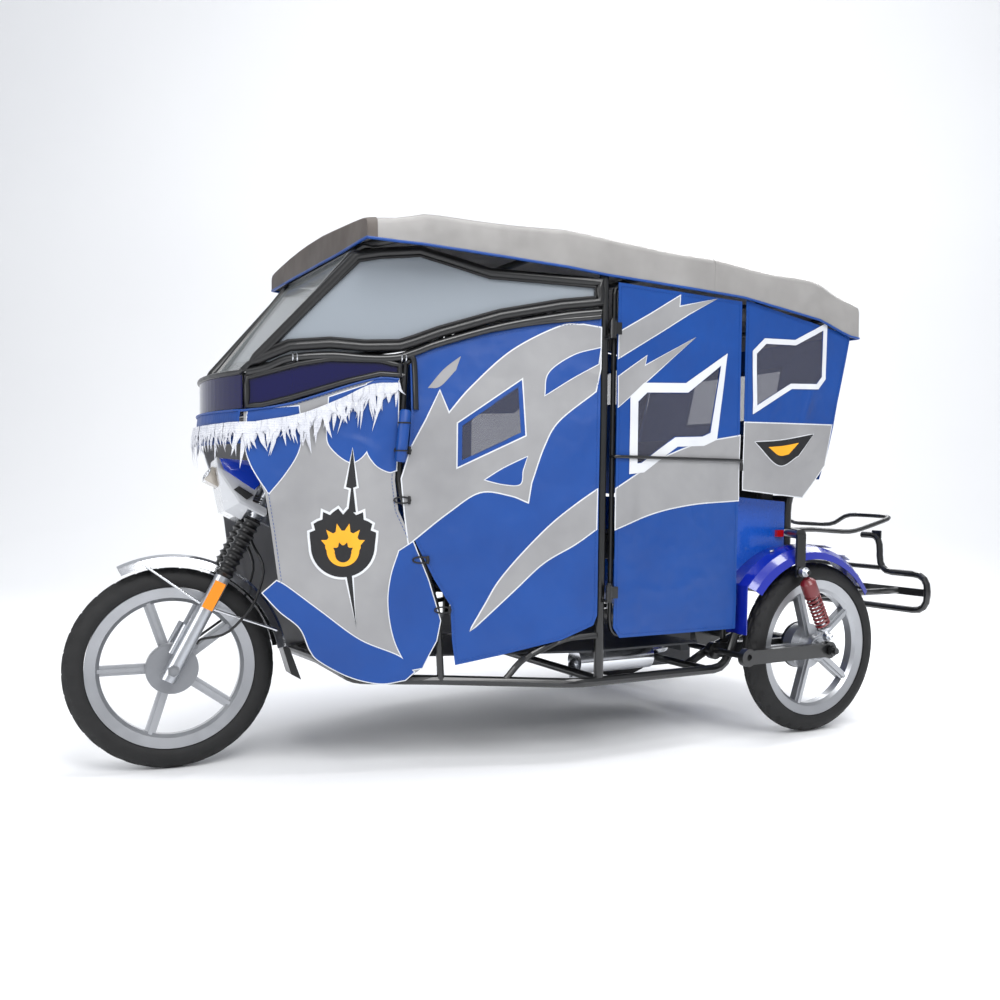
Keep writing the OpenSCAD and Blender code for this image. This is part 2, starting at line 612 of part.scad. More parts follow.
module passenger_seat() color("#25262a") hull() {
    front = tub_y0 - 62;
    depth = tub_y1 - tub_t - gap - front;
    translate([-seat_w / 2, front, seat_z + gap]) cube([seat_w, depth, 70]);
    translate([-seat_w / 2 + 14, front + 12, seat_z + 70]) cube([seat_w - 28, depth - 16, 24]);
}

module passenger_backrest() color("#25262a") hull() {
    back = tub_y1 - tub_t - gap;
    translate([-seat_w / 2, back - 70, seat_z + 102]) cube([seat_w, 60, 8]);
    translate([-seat_w / 2 + 10, back - 36, seat_z + 460]) cube([seat_w - 20, 36, 10]);
    translate([-seat_w / 2, back - 56, seat_z + 300]) cube([seat_w, 48, 8]);
    translate([-seat_w / 2, back - 60, tub_top - 20]) cube([seat_w, 60, 18]);
}

module driver_seat() color("#1d1e21") hull() {
    translate([-70, -200, spine_z - 26]) cube([140, 300, 46]);
    translate([-120, -60, spine_z + 34]) cube([240, 200, 30]);
    translate([-70, -220, spine_z + 34]) cube([140, 60, 24]);
}

module fuel_tank() color("#0d4fae") difference() {
    hull() {
        translate([-90, axle_f + 480, spine_z + 100]) cube([180, 250, 10]);
        translate([-120, axle_f + 470, spine_z + 160]) cube([240, 200, 20]);
        translate([-80, axle_f + 500, spine_z + 230]) cube([160, 140, 10]);
    }
    run(spine_path, spine_d + 2 * gap);
    translate([-spine_d / 2, axle_f + 400, spine_z - 80]) cube([spine_d, 440, 180]);
}

engine_half = 150;
module engine() color("#3b3d40") difference() {
    union() {
        translate([-engine_half, pivot_y - 60, 190]) cube([2 * engine_half, 240, 140]);
        translate([-60, pivot_y + 40, 330 - eps]) cube([120, 120, 90]);
    }
    translate([0, pivot_y, wheel_r + 3]) rotate([0, 90, 0])
        cylinder(d = axle_d + 2 * gap, h = 3 * engine_half, center = true);
}

module exhaust() color("#9a9da1") {
    translate([300, post_y + 70, 262]) rotate([-90, 0, 0]) cylinder(d = 84, h = 300);
    sweep(bend([[300, post_y + 360, 262], [300, post_y + 386, 282], [300, post_y + 450, 284], [240, pivot_y - 24, 284],
        [engine_half + gap, pivot_y - 24, 284]], 30), 34);
    sweep(bend([[300, post_y + 76, 262], [300, post_y + 56, 250], [344, post_y + 40, 214]], 20), 28);
}

module rear_axle() color("#232427") {
    half = rear_track / 2 + tyre_w / 2 + 88;
    translate([0, axle_r, wheel_r]) {
        rotate([0, 90, 0]) cylinder(d = axle_d, h = 2 * half, center = true);
        rotate([0, 90, 0]) cylinder(d = 58, h = rear_track - 2 * 120, center = true);
        rotate([0, 90, 0]) cylinder(d = 190, h = 130, center = true);
        both() translate([rear_track / 2 + tyre_w / 2 + 62, 0, 0]) rotate([0, 90, 0]) cylinder(d = 36, h = 14, $fn = 6);
        both() translate([rear_track / 2 - rear_hub_w / 2 - 9, 0, 0]) rotate([0, 90, 0])
            cylinder(r = rear_drum_r + 2, h = 7.5, $fn = 72);
    }
}

arm_out_x = rear_track / 2 + tyre_w / 2 + 34;
arm_in_x = rear_track / 2 - rear_hub_w / 2 - 9 - 8 - arm_w;
module arm_bar(x) difference() {
    union() {
        translate([x, pivot_y, wheel_r - arm_h / 2 + 1]) cube([arm_w, arm_l, arm_h]);
        for (y = [pivot_y, axle_r]) translate([x, y, wheel_r + 1]) rotate([0, 90, 0]) cylinder(d = arm_h + 12, h = arm_w);
    }
    translate([x - eps, pivot_y, wheel_r + 3]) rotate([0, 90, 0]) cylinder(d = axle_d + 2 * gap, h = arm_w + 2 * eps);
    translate([x - eps, axle_r, wheel_r]) rotate([0, 90, 0]) cylinder(d = axle_d + 2 * gap, h = arm_w + 2 * eps);
}

module swing_arms() color("#17181a") both() {
    arm_bar(arm_out_x);
    arm_bar(arm_in_x);
}

shock_x = tower_x + 8 + gap + 13;
shock_a = [shock_x, axle_r, wheel_r + 1 + arm_h / 2 + 6 + gap + 15];
shock_b = [shock_x, tower_y, shock_top_z];
module shock_absorbers() both() {
    v = unit(shock_b - shock_a);
    color("#c4c6ca") {
        rod(shock_a, shock_a + 0.62 * (shock_b - shock_a), 18);
        rod(shock_a + 0.62 * (shock_b - shock_a), shock_a + 0.9 * (shock_b - shock_a), 50);
        translate(shock_a) rotate([0, 90, 0]) cylinder(d = 30, h = 22, center = true);
        difference() {
            translate(shock_b) rotate([0, 90, 0]) cylinder(d = 40, h = 26, center = true);
            translate(shock_b) rotate([0, 90, 0]) cylinder(d = stud_d + 2 * gap, h = 30, center = true);
        }
    }
    color("#8c1f26") rod(shock_a + 0.2 * (shock_b - shock_a), shock_a + 0.63 * (shock_b - shock_a), 44);
}

fender_y = axle_r - 43;
fender_z = wheel_r + 5;
fender_in = tub_w / 2 + gap;
fender_from = 34;
fender_to = acos((door_y1 + door_gap - fender_y) / fender_r);
module fender_profile() polygon([[fender_r - 4, fender_in], [fender_r, fender_in + 60], [fender_r - 8, fender_out - 32],
    [fender_r - 26, fender_out - 10], [fender_r - 50, fender_out], [fender_r - 50, fender_out - 3],
    [fender_r - 28, fender_out - 13], [fender_r - 11, fender_out - 34], [fender_r - 3, fender_in + 60],
    [fender_r - 7, fender_in]]);
module rear_fenders() color("#0a1e8c") both() {
    translate([0, fender_y, fender_z]) arc_about_x(fender_from, fender_to) fender_profile();
    translate([fender_in, door_y1 + door_gap, door_z - 20])
        cube([rear_track / 2 + tyre_w / 2 - 12 - fender_in, 4, fender_z + fender_r * sin(fender_to) - door_z + 20]);
}

rack_y0 = rear_foot_y + 180;
rack_z = beam_z;
bumper_top = 526;
bumper_low = 388;
bumper_bar_z = 458;
tail_x = tub_w / 2 - 36;
module luggage_rack() color("#17181a") {
    half = rack_w / 2;
    outline = [[-half, rear_foot_y + 17 + gap, rack_z], [-half, rack_y0, rack_z + 6], [-half, rack_y0 + 220, rack_z - 8],
        [-half, bumper_y, rack_z + 46], [-half + 60, bumper_y + 12, rack_z + 52], [-half + 230, bumper_y, rack_z + 54],
        [-half + 300, bumper_y, rack_z + 8], [half - 300, bumper_y, rack_z + 8], [half - 230, bumper_y, rack_z + 54],
        [half - 60, bumper_y + 12, rack_z + 52], [half, bumper_y, rack_z + 46], [half, rack_y0 + 220, rack_z - 8],
        [half, rack_y0, rack_z + 6], [half, rear_foot_y + 17 + gap, rack_z]];
    sweep(bend(outline, 50, 3), 18, [0.13, 0.17, 1]);
    for (y = [rack_y0 + 40, rack_y0 + 40 + rack_hole_y]) difference() {
        translate([-half, y - 16, rack_z - 5]) cube([rack_w, 32, 5]);
        for (x = [-1, 1]) translate([x * rack_hole_x / 2, y, rack_z - 10]) cylinder(d = rack_hole_d, h = 20);
    }
    for (x = [-half * 0.6, -half * 0.2, half * 0.2, half * 0.6])
        rod([x, rear_foot_y + 17 + gap, rack_z], [x, rack_y0 + 60 + rack_hole_y, rack_z], 12);
}

module rear_bumper() color("#17181a") {
    half = bumper_w / 2 - bumper_d / 2;
    riser = half - 230;
    top = [[riser - 90, bumper_y, rack_z - 26], [riser, bumper_y, rack_z - 26], [riser, bumper_y, bumper_top],
        [half, bumper_y, bumper_top], [half, bumper_y, bumper_low]];
    loop = concat([for (p = top) flip(p)], [for (i = [4 : -1 : 0]) top[i]]);
    sweep(bend(loop, 64, 4), bumper_d, [0, 1, 0]);
    translate([-half, bumper_y - 6, bumper_bar_z - 14]) cube([2 * half, 6, 28]);
    rod([-riser, bumper_y, bumper_top + 14], [riser, bumper_y, bumper_top + 14], bumper_d - 6);
    both() translate([riser - 40, bumper_y - 3, rack_z - 36]) cube([44, 6, 30]);
}

// ---- glazing ----
pane_in = canvas_t - pane_t;
glass_outline = [[6, roof_z - 139], [177, roof_z - 134], [fore(694), roof_z - 130], [fore(575), roof_z - 100],
    [fore(488), roof_z - 79], [fore(374), roof_z - 92], [fore(305), roof_z - 106], [fore(14), 1170], [fore(60), 1192],
    [fore(125), 1222], [fore(235), 1234], [fore(333), 1230], [fore(433), 1236], [fore(476), 1251],
    [fore(548), 1280], [312, 1338], [130, 1377], [6, 1394]];
module side_glass() color("#9fa8b0", 0.6) both() nose_sheet(pane_t, pane_in) polygon(glass_outline);

// the pane lies between the pillars, in the plane of their middles
module windshield() color("#c3ccd2", 0.4) {
    run_up = [roof_rail[0][1] - pillar_foot[1], roof_rail[0][2] - pillar_foot[2]];
    up = norm(run_up);
    spread = roof_rail[0][0] - pillar_foot[0];
    inset = (12 + gap) * norm([1, spread / up]);
    low = 20;
    high = up - 12 - gap;
    low_x = pillar_foot[0] + spread * low / up - inset;
    high_x = pillar_foot[0] + spread * high / up - inset;
    translate([0, pillar_foot[1], pillar_foot[2]])
        rotate([atan2(run_up[1], run_up[0]), 0, 0]) linear_extrude(pane_t, center = true)
            polygon([[-low_x, low], [low_x, low], [high_x, high], [-high_x, high]]);
}

strip_top = [[fore(2), 1140], [fore(153), 1184], [fore(235), 1201], [fore(376), 1202], [fore(440), 1190]];
strip_low = [[fore(438), 1152], [fore(376), 1156], [fore(291), 1133], [fore(125), 1076], [fore(50), 1054], [fore(2), 1050]];
nose_bow = 42;
function bow(x) = nose_y - 8 - nose_bow * (1 - pow(x / nose_x, 2));
strip_z = 1142;
module tinted_strip() color("#0d0a3c", 0.85) {
    both() nose_sheet(pane_t, pane_in) polygon(concat(strip_top, strip_low));
    translate([0, 0, strip_z - 92]) linear_extrude(92) polygon(concat(
        [for (i = [-8 : 8]) [i / 8 * (nose_x - 3), bow(i / 8 * (nose_x - 3)) + 2]],
        [for (i = [8 : -1 : -8]) [i / 8 * (nose_x - 3), bow(i / 8 * (nose_x - 3)) + 2 + pane_t]]));
}

seal_d = 16;
module glazing_seals() color("#111113") {
    out = pane_in - gap - seal_d / 2;
    low = concat([side_point(10, 1396, out), side_point(130, 1380, out)],
        [for (i = [15 : -1 : 7]) side_point(glass_outline[i][0], glass_outline[i][1] + 3, out)],
        [[nose_x + 8, nose_y - 4, strip_z + 14]]);
    front = [for (k = [-4 : 4]) [-k / 4.1 * nose_x, bow(k / 4.1 * nose_x) + 3, strip_z + gap + seal_d / 2]];
    sweep(concat(low, front, [for (i = [len(low) - 1 : -1 : 0]) flip(low[i])]), seal_d, [0, 0, 1], 8);
}

// ---- canvas ----
apron_outline = [[fore(0), 1044], [fore(50), 1048], [fore(125), 1070], [fore(291), 1127], [fore(376), 1150], [fore(430), 1146],
    [fore(428), 1000], [fore(420), 855], [fore(430), 769], [fore(471), 681], [fore(518), 564], [fore(554), 445],
    [fore(543), 386], [fore(520), 343], [fore(502), 305], [fore(453), 270], [fore(380), 262], [fore(294), 284],
    [fore(210), 331], [fore(182), 366], [fore(154), 430], [fore(98), 477], [fore(49), 534], [fore(93), 568],
    [fore(74), 710], [fore(58), 811], [fore(0), 940]];
module front_aprons() color("#a8aaad") both() nose_sheet(canvas_t) polygon(apron_outline);

driver_outline = [[fore(476), 1216], [fore(519), 1234], [fore(612), 1272], [221, 1320], [4, 1350],
    [4, 452], [16, 421], [117, 378], [302, 337], [fore(600), 311], [fore(590), 385], [fore(584), 489], [fore(537), 564],
    [fore(485), 667], [fore(449), 754], [fore(439), 856], [fore(462), 972], [fore(466), 1058], [fore(462), 1190]];
driver_window = [[fore(612), 1019], [fore(784), 1140], [fore(794), 1000], [fore(612), 912]];
module driver_canvases() color("#0b55ad") both() nose_sheet(canvas_t) difference() {
    polygon(driver_outline);
    polygon(driver_window);
}

quarter_y0 = door_y1 + door_gap;
quarter_outline = [[quarter_y0, roof_z - 136], [axle_r + 168, roof_z - 210], [axle_r + 96, 1072], [axle_r + 60, 941],
    [axle_r - 6, 859], [axle_r - 48, 814], [quarter_y0, 842]];
quarter_window = [[axle_r - 270, 1118], [axle_r - 274, 1294], [axle_r - 232, 1331], [axle_r - 96, 1337],
    [axle_r + 34, 1400], [axle_r + 34, 1236], [axle_r + 8, 1208], [axle_r - 114, 1202]];
module quarter_canvases() color("#0b55ad") both() side_sheet(canvas_t, side_x) difference() {
    polygon(quarter_outline);
    polygon(quarter_window);
}

rear_line = [[axle_r + 168, roof_z - 206], [axle_r + 96, 1072], [axle_r + 60, 941], [axle_r + 36, 880]];
rear_window = [-260, 1100, 520, 210];
module rear_canvas() color("#0b55ad") difference() {
    rotate([90, 0, 90]) linear_extrude(2 * side_x - 2 * gap, center = true)
        polygon(concat(rear_line, [for (i = [3 : -1 : 0]) rear_line[i] - [canvas_t, 0]]));
    translate([rear_window[0], axle_r, rear_window[1]]) cube([rear_window[2], 300, rear_window[3]]);
}

module canvas_windows() color("#b9c4cc", 0.5) {
    both() nose_sheet(canvas_t - 2, 1) offset(delta = -gap) polygon(driver_window);
    both() side_sheet(canvas_t - 2, side_x + 1) offset(delta = -gap) polygon(quarter_window);
    intersection() {
        rotate([90, 0, 90]) linear_extrude(rear_window[2] - 2 * gap, center = true)
            polygon([rear_line[0] - [1, 0], rear_line[1] - [1, 0], rear_line[1] - [canvas_t - 1, 0], rear_line[0] - [canvas_t - 1, 0]]);
        translate([rear_window[0], axle_r, rear_window[1] + gap]) cube([rear_window[2], 300, rear_window[3] - 2 * gap]);
    }
}

// roof slices: y, half width, height of the edge
roof_slices = [[nose_y + 286, 460, roof_z - 28], [nose_y + 445, side_x - 70, roof_z], [plane_y - 125, side_x + 4, roof_z - 3],
    [axle_r - 456, side_x + 14, roof_z - 21], [axle_r - 13, side_x + 16, roof_z - 38], [axle_r + 196, side_x + 14, roof_z - 104]];
function roof_section(w, z) = [[-w, roof_z - 330], [-w, z - 16], [-w + 14, z], [-w * 0.5, z + crown * 0.75], [0, z + crown],
    [w * 0.5, z + crown * 0.75], [w - 14, z], [w, z - 16], [w, roof_z - 330]];
module roof_block(in) hull() for (i = [0 : len(roof_slices) - 1])
    translate([0, roof_slices[i][0] + (i == 0 ? in : i == len(roof_slices) - 1 ? 1 - in : 0), 0])
        rotate([90, 0, 0]) linear_extrude(1) polygon(roof_section(roof_slices[i][1] - in, roof_slices[i][2] - in));

module roof_canopy() color("#a5a5a6") intersection() {
    difference() {
        roof_block(0);
        translate([0, 0, 0]) roof_block(canvas_t);
        translate([0, axle_r, roof_z - 330]) cube([4 * side_x, 8 * side_x, 40], center = true);
    }
    rotate([90, 0, 90]) linear_extrude(3 * cabin_w, center = true)
        polygon([[nose_y + 270, roof_z - 82], [nose_y + 445, roof_z - 88], [nose_y + 575, roof_z - 95],
            [plane_y, roof_z - 119], [axle_r - 347, roof_z - 130], [axle_r + 6, roof_z - 171],
            [axle_r + 150, roof_z - 213], [axle_r + 210, roof_z - 218], [axle_r + 210, roof_z + 200], [nose_y + 270, roof_z + 200]]);
}

module tail_lamps() color("#b3141c") both() {
    translate([tub_w / 2 - 160, tub_y1 + gap, beam_z + 24]) cube([70, 30, 66]);
    translate([tub_w / 2 + gap, tub_y1 - 44, beam_z - 14]) cube([12, 30, 24]);
}

at_origin() {
    main_frame();
    cabin_frame();
    floor_pan();
    passenger_tub();
    passenger_seat();
    passenger_backrest();
    driver_seat();
    fuel_tank();
    engine();
    exhaust();
    rear_axle();
    swing_arms();
    shock_absorbers();
    rear_fenders();
    luggage_rack();
    rear_bumper();
    windshield();
    side_glass();
    tinted_strip();
    glazing_seals();
    roof_canopy();
    front_aprons();
    driver_canvases();
    quarter_canvases();
    rear_canvas();
    canvas_windows();
    tail_lamps();
    fork();
    fork_boots();
    handlebar();
    headlight_nacelle();
    headlamp();
    front_mudguard();
    mud_flap();
    front_axle();
    fork_reflectors();
    front_cables();
    front_tyre();
    front_rim();
    rear_left_tyre();
    rear_left_rim();
    rear_right_tyre();
    rear_right_rim();
    left_door_frame();
    left_door_canvas();
    left_door_window();
    right_door_frame();
    right_door_canvas();
    right_door_window();
}
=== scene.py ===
# %% [markdown]
# # A canvas-topped auto rickshaw, piece by piece
# The packed frame brings every tube, wheel and pane at its real place.
# This file dresses it: sewn sheets, fur fringe, gaskets, tread, paint and light.
# All lengths are in metres, and the front of the vehicle faces -Y.

# %% Load the frame
import json
import math
import random

import bmesh
import bpy
from mathutils import Matrix, Vector, geometry, noise

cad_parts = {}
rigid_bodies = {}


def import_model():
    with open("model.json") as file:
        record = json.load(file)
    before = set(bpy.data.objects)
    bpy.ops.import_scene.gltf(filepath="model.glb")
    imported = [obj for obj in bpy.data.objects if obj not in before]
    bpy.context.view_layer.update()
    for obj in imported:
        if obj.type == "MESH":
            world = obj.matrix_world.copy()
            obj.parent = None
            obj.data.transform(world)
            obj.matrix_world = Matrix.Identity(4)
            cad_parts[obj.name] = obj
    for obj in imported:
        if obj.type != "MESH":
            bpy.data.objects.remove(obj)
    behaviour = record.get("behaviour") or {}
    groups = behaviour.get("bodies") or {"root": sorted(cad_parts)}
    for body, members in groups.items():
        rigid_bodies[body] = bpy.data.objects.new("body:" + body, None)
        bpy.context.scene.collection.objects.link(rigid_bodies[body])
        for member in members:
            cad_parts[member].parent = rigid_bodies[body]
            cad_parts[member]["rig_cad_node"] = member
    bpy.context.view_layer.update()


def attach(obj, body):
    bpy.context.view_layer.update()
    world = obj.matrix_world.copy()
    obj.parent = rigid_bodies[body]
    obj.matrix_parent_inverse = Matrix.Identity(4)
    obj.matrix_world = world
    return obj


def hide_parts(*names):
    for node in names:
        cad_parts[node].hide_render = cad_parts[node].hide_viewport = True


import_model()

# %% [markdown]
# ## Drawing in the workshop's own measures
# The sheets were laid out in millimetres from the point half way between the
# axles. `at` turns such a place into the frame's metres, so that each outline
# below reads like a pattern on the cutting table.

# %% Workshop measures
MIDDLE = 153.12                 # the frame's origin lies this far behind half way
NOSE_FOOT, POST_FOOT = Vector((250, -865)), Vector((566, 125))
NOSE_RUN = (NOSE_FOOT - POST_FOOT).normalized()
NOSE_LENGTH = (NOSE_FOOT - POST_FOOT).length
NOSE_OUT = Vector((-NOSE_RUN.y, NOSE_RUN.x))


def at(x, y, z):
    return Vector((x, y - MIDDLE, z)) / 1000


def on_nose(s, z, out):
    """A place on the flat side of the nose: s runs forward from the door post."""
    p = POST_FOOT + NOSE_RUN * s + NOSE_OUT * out
    return at(p.x, p.y, z)


def on_side(y, z, out):
    """A place on the flat side behind the door post."""
    return at(566 + out, y, z)


print("nose side is", round(NOSE_LENGTH), "mm long, faces", [round(v, 2) for v in NOSE_OUT])

# %% [markdown]
# ## The camera
# It stands off the front left corner at chest height. A lens of about 36 mm
# gives this gentle perspective. The small shift only places the vehicle in the
# frame, as the rise and shift of a view camera would.

# %% Camera
eye = bpy.data.cameras.new("eye")
eye.sensor_width, eye.lens = 36.0, 36.4
eye.shift_x, eye.shift_y = -0.0466, 0.0339
eye.clip_end = 100
camera = bpy.data.objects.new("eye", eye)
bpy.context.collection.objects.link(camera)
heading, tilt, roll = 1.0280, 0.0456, 0.01247
look = Vector((-math.sin(heading) * math.cos(tilt), math.cos(heading) * math.cos(tilt), -math.sin(tilt)))
camera.rotation_mode = "QUATERNION"
camera.rotation_quaternion = look.to_track_quat("-Z", "Y") @ Matrix.Rotation(roll, 4, "Z").to_quaternion()
camera.location = (3.1138, -1.6007 - MIDDLE / 1000, 0.8390)
bpy.context.scene.camera = camera
bpy.context.scene.view_settings.view_transform = "Standard"
print("camera looks along", [round(v, 2) for v in look])

# %% [markdown]
# ## Shader maths as plain expressions
# A finish is a small graph of nodes. Wiring it by hand is slow to read, so
# `Wire` wraps a socket and adds a Math node for each sign, and `Finish.node`
# makes any other node. Colours go through Mix nodes, because a Math node
# would turn them grey.

# %% Wires and finishes
class Wire:
    """A value that changes over a surface."""

    def __init__(self, finish, socket):
        self.finish, self.socket = finish, socket

    def maths(self, kind, a, b=0.0):
        return self.finish.node("ShaderNodeMath", {"operation": kind}, {0: a, 1: b})

    def __add__(self, other):
        return self.maths("ADD", self, other)

    def __sub__(self, other):
        return self.maths("SUBTRACT", self, other)

    def __mul__(self, other):
        return self.maths("MULTIPLY", self, other)

    def __pow__(self, other):
        return self.maths("POWER", self, other)

    def wave(self):
        return self.maths("SINE", self)

    __radd__, __rmul__ = __add__, __mul__


print("wire signs:", [n for n in vars(Wire) if n.startswith("__") and n != "__init__"][:6])

# %% [markdown]
# A finish collects what varies over one material: its colour, its roughness and
# its bumps, each from a few clouds of noise in the piece's own space.

# %% Finish
class Finish:
    """One material with a Principled shader, and a line for each thing that varies."""

    def __init__(self, name, **plain):
        self.material = bpy.data.materials.new(name)
        self.material.use_nodes = True
        self.tree = self.material.node_tree
        self.shader = next(n for n in self.tree.nodes if n.type == "BSDF_PRINCIPLED")
        for key, value in plain.items():
            self.put(key.replace("_", " "), value)

    def feed(self, socket, value):
        if isinstance(value, Wire):
            self.tree.links.new(value.socket, socket)
        else:
            socket.default_value = value

    def node(self, kind, settings, values, out=0):
        made = self.tree.nodes.new(kind)
        for key, value in settings.items():
            if key == "stops":
                ramp = made.color_ramp
                while len(ramp.elements) < len(value):
                    ramp.elements.new(1.0)
                for element, (place, colour) in zip(ramp.elements, value):
                    element.position, element.color = place, colour
            else:
                setattr(made, key, value)
        for key, value in values.items():
            self.feed(made.inputs[key], value)
        return Wire(self, made.outputs[out])

    def put(self, name, value):
        self.feed(self.shader.inputs[name], value)

    def place(self, part=None):
        here = self.node("ShaderNodeTexCoord", {}, {}, "Object")
        if part is None:
            return here
        return self.node("ShaderNodeSeparateXYZ", {}, {0: here}, part)

    def cloud(self, scale, detail=3.0, rough=0.55):
        return self.node("ShaderNodeTexNoise", {}, {
            "Vector": self.place(), "Scale": scale, "Detail": detail, "Roughness": rough})

    def blend(self, share, one, two):
        return self.node("ShaderNodeMix", {"data_type": "RGBA"}, {0: share, 6: one, 7: two}, 2)

    def bump(self, height, deep, strength=1.0):
        self.put("Normal", self.node("ShaderNodeBump", {}, {
            "Strength": strength, "Distance": deep, "Height": height}))


def tone(r, g, b, a=1.0):
    """A paint tone given as it looks on a screen, 0 to 255, as linear light."""
    def line(v):
        v /= 255
        return v / 12.92 if v <= 0.04045 else ((v + 0.055) / 1.055) ** 2.4
    return (line(r), line(g), line(b), a)


FINISHES = {}
print("wires ready")

# %% [markdown]
# ## Coated canvas
# The sheets are polyester cloth with a vinyl skin. From a metre away the weave
# is only a faint grain, while slow, soft dents from the sewing catch the light.
# So the finish has three layers: a broad cloud for handling marks in colour and
# gloss, a fine woven bump, and a middle cloud for dents.

# %% Canvas
def canvas(name, colour, dark, rough):
    f = Finish(name, Specular_IOR_Level=0.5, Coat_Roughness=0.3)
    f.put("Base Color", f.blend(f.cloud(5.0) * 1.3 - 0.15, colour, dark))
    f.put("Roughness", f.cloud(9.0) * 0.16 + rough)
    weave = (f.place("Y") * 2600.0).wave() * 0.5 + (f.place("Z") * 2600.0).wave() * 0.5
    drift = f.cloud(1.7, 2.0) - 0.5
    fold = (f.place("Z") * 17.0 + f.place("Y") * 9.0 + drift * 26.0).wave() * 0.5 + 0.5
    patches = f.cloud(3.1, 2.0) - 0.42
    crease = (fold ** 9.0) * patches.maths("MAXIMUM", patches, 0.0)
    f.bump(f.cloud(7.0, 2.0) + weave * 0.012 + crease * 2.2, 0.016, 0.7)
    FINISHES[name] = f.material
    return f.material


canvas("blue_canvas", tone(2, 70, 150), tone(0, 56, 128), 0.30)
canvas("silver_canvas", tone(158, 158, 159), tone(132, 132, 134), 0.30)
canvas("roof_canvas", tone(160, 158, 156), tone(128, 126, 124), 0.28)
# The visor's dark brown-grey is painted shade on the roof's front band, which faces forward and down.
canvas("visor_painted_shade", tone(96, 88, 82), tone(66, 60, 56), 0.42)
canvas("white_vinyl", tone(226, 228, 231), tone(200, 203, 208), 0.35)
canvas("black_vinyl", tone(20, 20, 24), tone(12, 12, 14), 0.35)
canvas("yellow_vinyl", tone(245, 178, 34), tone(232, 158, 20), 0.38)
print("canvas finishes", sorted(FINISHES))

# %% [markdown]
# ## Paint, metal, rubber and glass
# Each hard finish is one shader whose gloss is broken up by a cloud, because a
# perfectly even gloss is what gives a computer picture away. Black tube paint
# gets orange peel, castings get a sandy bump, and rubber gets dust.

# %% Hard finishes
def paint(name, colour, rough, coat=0.0, peel=0.0004, metal=0.0, tint=0.8):
    f = Finish(name, Metallic=metal, Coat_Weight=coat, Coat_Roughness=0.06)
    worn = tuple(c * tint for c in colour[:3]) + (1.0,)
    f.put("Base Color", f.blend(f.cloud(14.0, 4.0), colour, worn))
    f.put("Roughness", f.cloud(30.0, 4.0) * 0.18 + rough)
    f.bump(f.cloud(220.0, 2.0), peel, 0.6)
    FINISHES[name] = f.material
    return f


paint("black_tube", tone(16, 17, 18), 0.24, 0.5)
paint("fender_paint", tone(14, 34, 156), 0.12, 1.0, 0.0002)
paint("tub_paint", tone(10, 84, 190), 0.18, 0.8, 0.0002)
paint("chequer_floor", tone(48, 50, 54), 0.45, 0.0, 0.0006)
paint("sand_casting", tone(92, 93, 95), 0.55, 0.0, 0.0012, 0.4)
paint("chrome", tone(226, 228, 232), 0.08, 0.0, 0.0001, 1.0, 0.92)
paint("polished_alloy", tone(196, 199, 204), 0.24, 0.0, 0.0002, 1.0, 0.86)
paint("wheel_lacquer", tone(178, 180, 184), 0.26, 0.4, 0.0003, 0.85, 0.82)
paint("zinc", tone(150, 152, 156), 0.38, 0.0, 0.0003, 0.9, 0.8)
paint("spring_red", tone(112, 24, 30), 0.30, 0.4)
paint("gloss_white", tone(206, 208, 212), 0.16, 0.8, 0.0001, 0.0, 0.92)
paint("blue_shell", tone(16, 60, 190), 0.12, 1.0, 0.0001)
paint("amber_lens", tone(246, 142, 8), 0.12, 1.0, 0.0002, 0.0, 0.9)
paint("red_lens", tone(190, 16, 24), 0.12, 1.0, 0.0002, 0.0, 0.8)
paint("seal_rubber", tone(19, 19, 20), 0.30, 0.2, 0.0003)
paint("tyre_rubber", tone(14, 14, 15), 0.62, 0.0, 0.0006, 0.0, 1.4)
paint("soft_black", tone(24, 24, 26), 0.55, 0.0, 0.0005)


print("paints mixed:", len(FINISHES))

# %% [markdown]
# A pane lets light through by its Alpha, and a faint cloud in it keeps it from
# looking like an empty hole.

# %% Glass and film
def pane(name, colour, see, rough):
    f = Finish(name, Metallic=0.0, IOR=1.45, Specular_IOR_Level=0.6, Coat_Weight=0.3)
    f.put("Base Color", f.blend(f.cloud(2.2, 2.0), colour, tuple(c * 0.86 for c in colour[:3]) + (1,)))
    f.put("Roughness", f.cloud(4.0) * 0.06 + rough)
    f.put("Alpha", f.cloud(1.6, 1.0) * 0.12 + see)
    FINISHES[name] = f.material
    return f.material


pane("clear_glass", tone(205, 212, 214), 0.22, 0.03)
pane("smoked_glass", tone(158, 166, 174), 0.74, 0.05)
pane("violet_glass", tone(10, 10, 66), 0.93, 0.04)
pane("clear_film", tone(86, 88, 104), 0.34, 0.07)
pane("lamp_glass", tone(214, 204, 190), 0.62, 0.04)


print("panes mixed:", len(FINISHES))

# %% [markdown]
# Seat vinyl has a fine leather grain, and fur has a soft sheen.

# %% Vinyl and fur
def sewn_vinyl():
    f = Finish("sewn_vinyl", Specular_IOR_Level=0.45)
    f.put("Base Color", f.blend(f.cloud(12.0), tone(36, 37, 40), tone(22, 22, 24)))
    f.put("Roughness", f.cloud(25.0) * 0.2 + 0.36)
    grain = f.node("ShaderNodeTexVoronoi", {}, {"Vector": f.place(), "Scale": 420.0})
    f.bump(grain, 0.0006, 0.7)
    FINISHES["sewn_vinyl"] = f.material


def fur():
    f = Finish("white_fur", Specular_IOR_Level=0.3, Sheen_Weight=0.6, Sheen_Roughness=0.4)
    f.put("Base Color", f.blend(f.cloud(40.0, 5.0), tone(228, 229, 233), tone(178, 181, 192)))
    f.put("Roughness", f.cloud(80.0) * 0.2 + 0.55)
    f.bump((f.place("Z") * 900.0 + f.cloud(60.0) * 9.0).wave(), 0.0008, 0.5)
    FINISHES["white_fur"] = f.material


sewn_vinyl()
fur()
print(len(FINISHES), "finishes in all")

# %% [markdown]
# ## Finishes for the frame's own nodes
# A node whose CAD shape is already right keeps it and only takes a finish.

